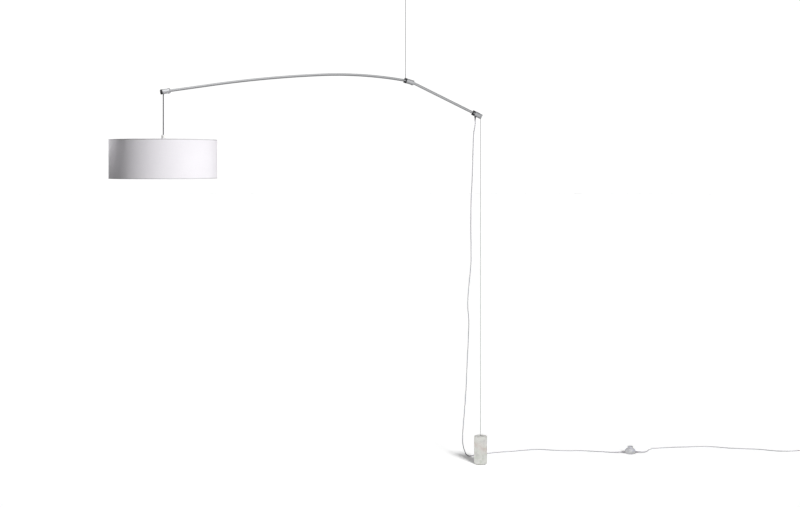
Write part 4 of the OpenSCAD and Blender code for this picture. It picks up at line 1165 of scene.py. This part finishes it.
# plug, pins and tie
plug = dict(at=(2.392, 0.364), height=0.007, tail=0.022, body=0.036, half=(0.0175, 0.007),
    flat=0.0125, power=14, sides=96, cone=(0.0031, 0.0050), groove=0.0007, soft=0.0015,
    plain=0.001, swell=0.006, pinGap=0.0186, pinRadius=0.0019, pinLength=0.019, dome=0.002,
    setIn=0.002, sleeve=0.009, sleeveRadius=0.002, sleeveEdge=(0.0003, 0.0002), pinSides=32)
plugEnd = plug["tail"] + plug["body"]


def plugBody():
    # the section grows from the round flex through the ribbed tail to a six-sided body with
    # soft corners: its radius is a high-power mean of the distances to the six faces
    tail, plain, soft, (wide, high) = (plug[key] for key in ("tail", "plain", "soft", "half"))
    bodyStart = tail + plug["swell"]
    y = np.concatenate([np.linspace(0, tail - plain, 90), np.linspace(tail, bodyStart, 16),
        np.linspace(bodyStart + 0.002, plugEnd - soft, 14),
        plugEnd - soft * (1 - np.sin(np.linspace(0.2, 1, 6) * np.pi / 2))])
    angle = circle(plug["sides"])
    way = np.stack([np.cos(angle), np.sin(angle)], -1)
    slope = math.atan2(high, wide - plug["flat"])
    normals = np.array([(0, 1), (0, -1)] + [(sx * math.sin(slope), sy * math.cos(slope))
        for sx in (1, -1) for sy in (1, -1)])
    reach = np.array([high] * 2 + [wide * math.sin(slope)] * 4)
    hit = np.maximum(way @ normals.T, 0) / reach
    six = np.sum(hit ** plug["power"], 1) ** (-1 / plug["power"])
    thin, thick = plug["cone"]
    cone = (thin + (thick - thin) * np.clip(y / tail, 0, 1)
        - plug["groove"] * ribs(y) * (1 - ease(y, tail - 0.004, tail - plain)))
    grow = ease(y, tail - 0.0005, bodyStart + 0.0005)[:, None]
    end = np.clip((y - (plugEnd - soft)) / soft, 0, 1)[:, None]
    r = cone[:, None] * (1 - grow) + six * grow - soft * (1 - np.sqrt(1 - end ** 2 * 0.999))
    rings = np.stack([plug["at"][0] + r * way[:, 0], plug["at"][1] + y[:, None] + 0 * r,
        floorHeight + plug["height"] + r * way[:, 1]], -1)
    return standIn(skin("plugBody", rings, y), "plug_body")


def plugPin(label, side):
    # a round pin with a domed tip, in a moulded sleeve over its first part
    tip, dome, sleeveEnd = plug["pinLength"], plug["dome"], plug["sleeve"]
    start = np.array([plug["at"][0] + side * plug["pinGap"] / 2, plug["at"][1] + plugEnd,
        floorHeight + plug["height"]])

    def barrel(name, reach, radius):
        return tube(name, start + reach[:, None] * np.array([0, 1.0, 0]), radius[:, None],
            plug["pinSides"], (0, 0, 1))

    reach = np.concatenate([[-plug["setIn"]], np.linspace(sleeveEnd, tip - dome, 6),
        tip - dome * (1 - np.sin(np.linspace(0.1, 1, 8) * np.pi / 2))])
    top = np.clip((reach - tip + dome) / dome, 0, 1)
    pin = barrel("plugPin" + label, reach,
        plug["pinRadius"] * np.sqrt(np.maximum(1 - top ** 2, 0.01)))
    along, inward = plug["sleeveEdge"]
    sleeve = barrel("pinSleeve" + label, np.array([-plug["setIn"], sleeveEnd - along, sleeveEnd]),
        plug["sleeveRadius"] - np.array([0, 0, inward]))
    return (standIn(pin, "plug_pins"),
        dress(sleeve, nodeSlots["plug_body"], bodyOf("plug_pins")))


strap = dict(thick=0.0008, outer=0.0030, inner=0.0022, edge=0.0003, slim=0.85)


def coilTie():
    # a strap with soft corners round the bundled turns: an outer and an inner outline, drawn
    # together at both edges of the strap
    low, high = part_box("coil_tie")
    _, y, z = (low + high) / 2
    half = np.array((high - low)[1:]) / 2
    corners = np.array([(-1, -1), (1, -1), (1, 1), (-1, 1)]) * half
    outer = rounded(corners, strap["outer"], 10)
    inner = rounded(corners * (1 - strap["thick"] / half), strap["inner"], 10)
    x = np.array([low.x, low.x + strap["edge"], high.x - strap["edge"], high.x])
    shrink = np.array([strap["slim"], 1, 1, strap["slim"]])[:, None, None]
    middle = (outer + inner) / 2
    loops = np.concatenate([middle + (outer - middle) * shrink, middle + (inner - middle) * shrink])
    place = np.concatenate([x, x[::-1]])[:, None] + 0 * loops[..., 0]
    rings = np.stack([place, y + loops[..., 0], z + loops[..., 1]], -1)
    return standIn(skin("coilTie", rings, None, True), "coil_tie")


plugPiece = plugBody()
pins = plugPin("Left", -1) + plugPin("Right", 1)
tie = coilTie()
print("plug and tie ready")

# the flex runs take their finish; the plug run rides its body
dress(hangingFlex, "clear_flex", None, "hanging_flex")
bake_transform(hangingFlex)
dress(plugFlex, "clear_flex", bodyOf("outgoing_flex"), "outgoing_flex", "flex_coil")
bpy.context.view_layer.update()
switchPieces = ["switchCover", "switchButton", "switch_baseFinished", "switchReliefLeft",
    "switchReliefRight"]

# which lamp lights what
standing = [stone, plugPiece, tie, *pins]
standing += [bpy.data.objects[name] for name in switchPieces]
standing += [bpy.data.objects[name + "Finished"] for name in ("stone_ferrule", "stone_anchor")]
lightOnly(suns["key"], [floor, hangingFlex, plugFlex, *standing], allBut=True)
lightOnly(suns["ground"], [floor, hangingFlex, plugFlex], blockers=[hangingFlex, plugFlex,
    *standing])
lightOnly(suns["right"], standing)
lightOnly(suns["left"], standing)
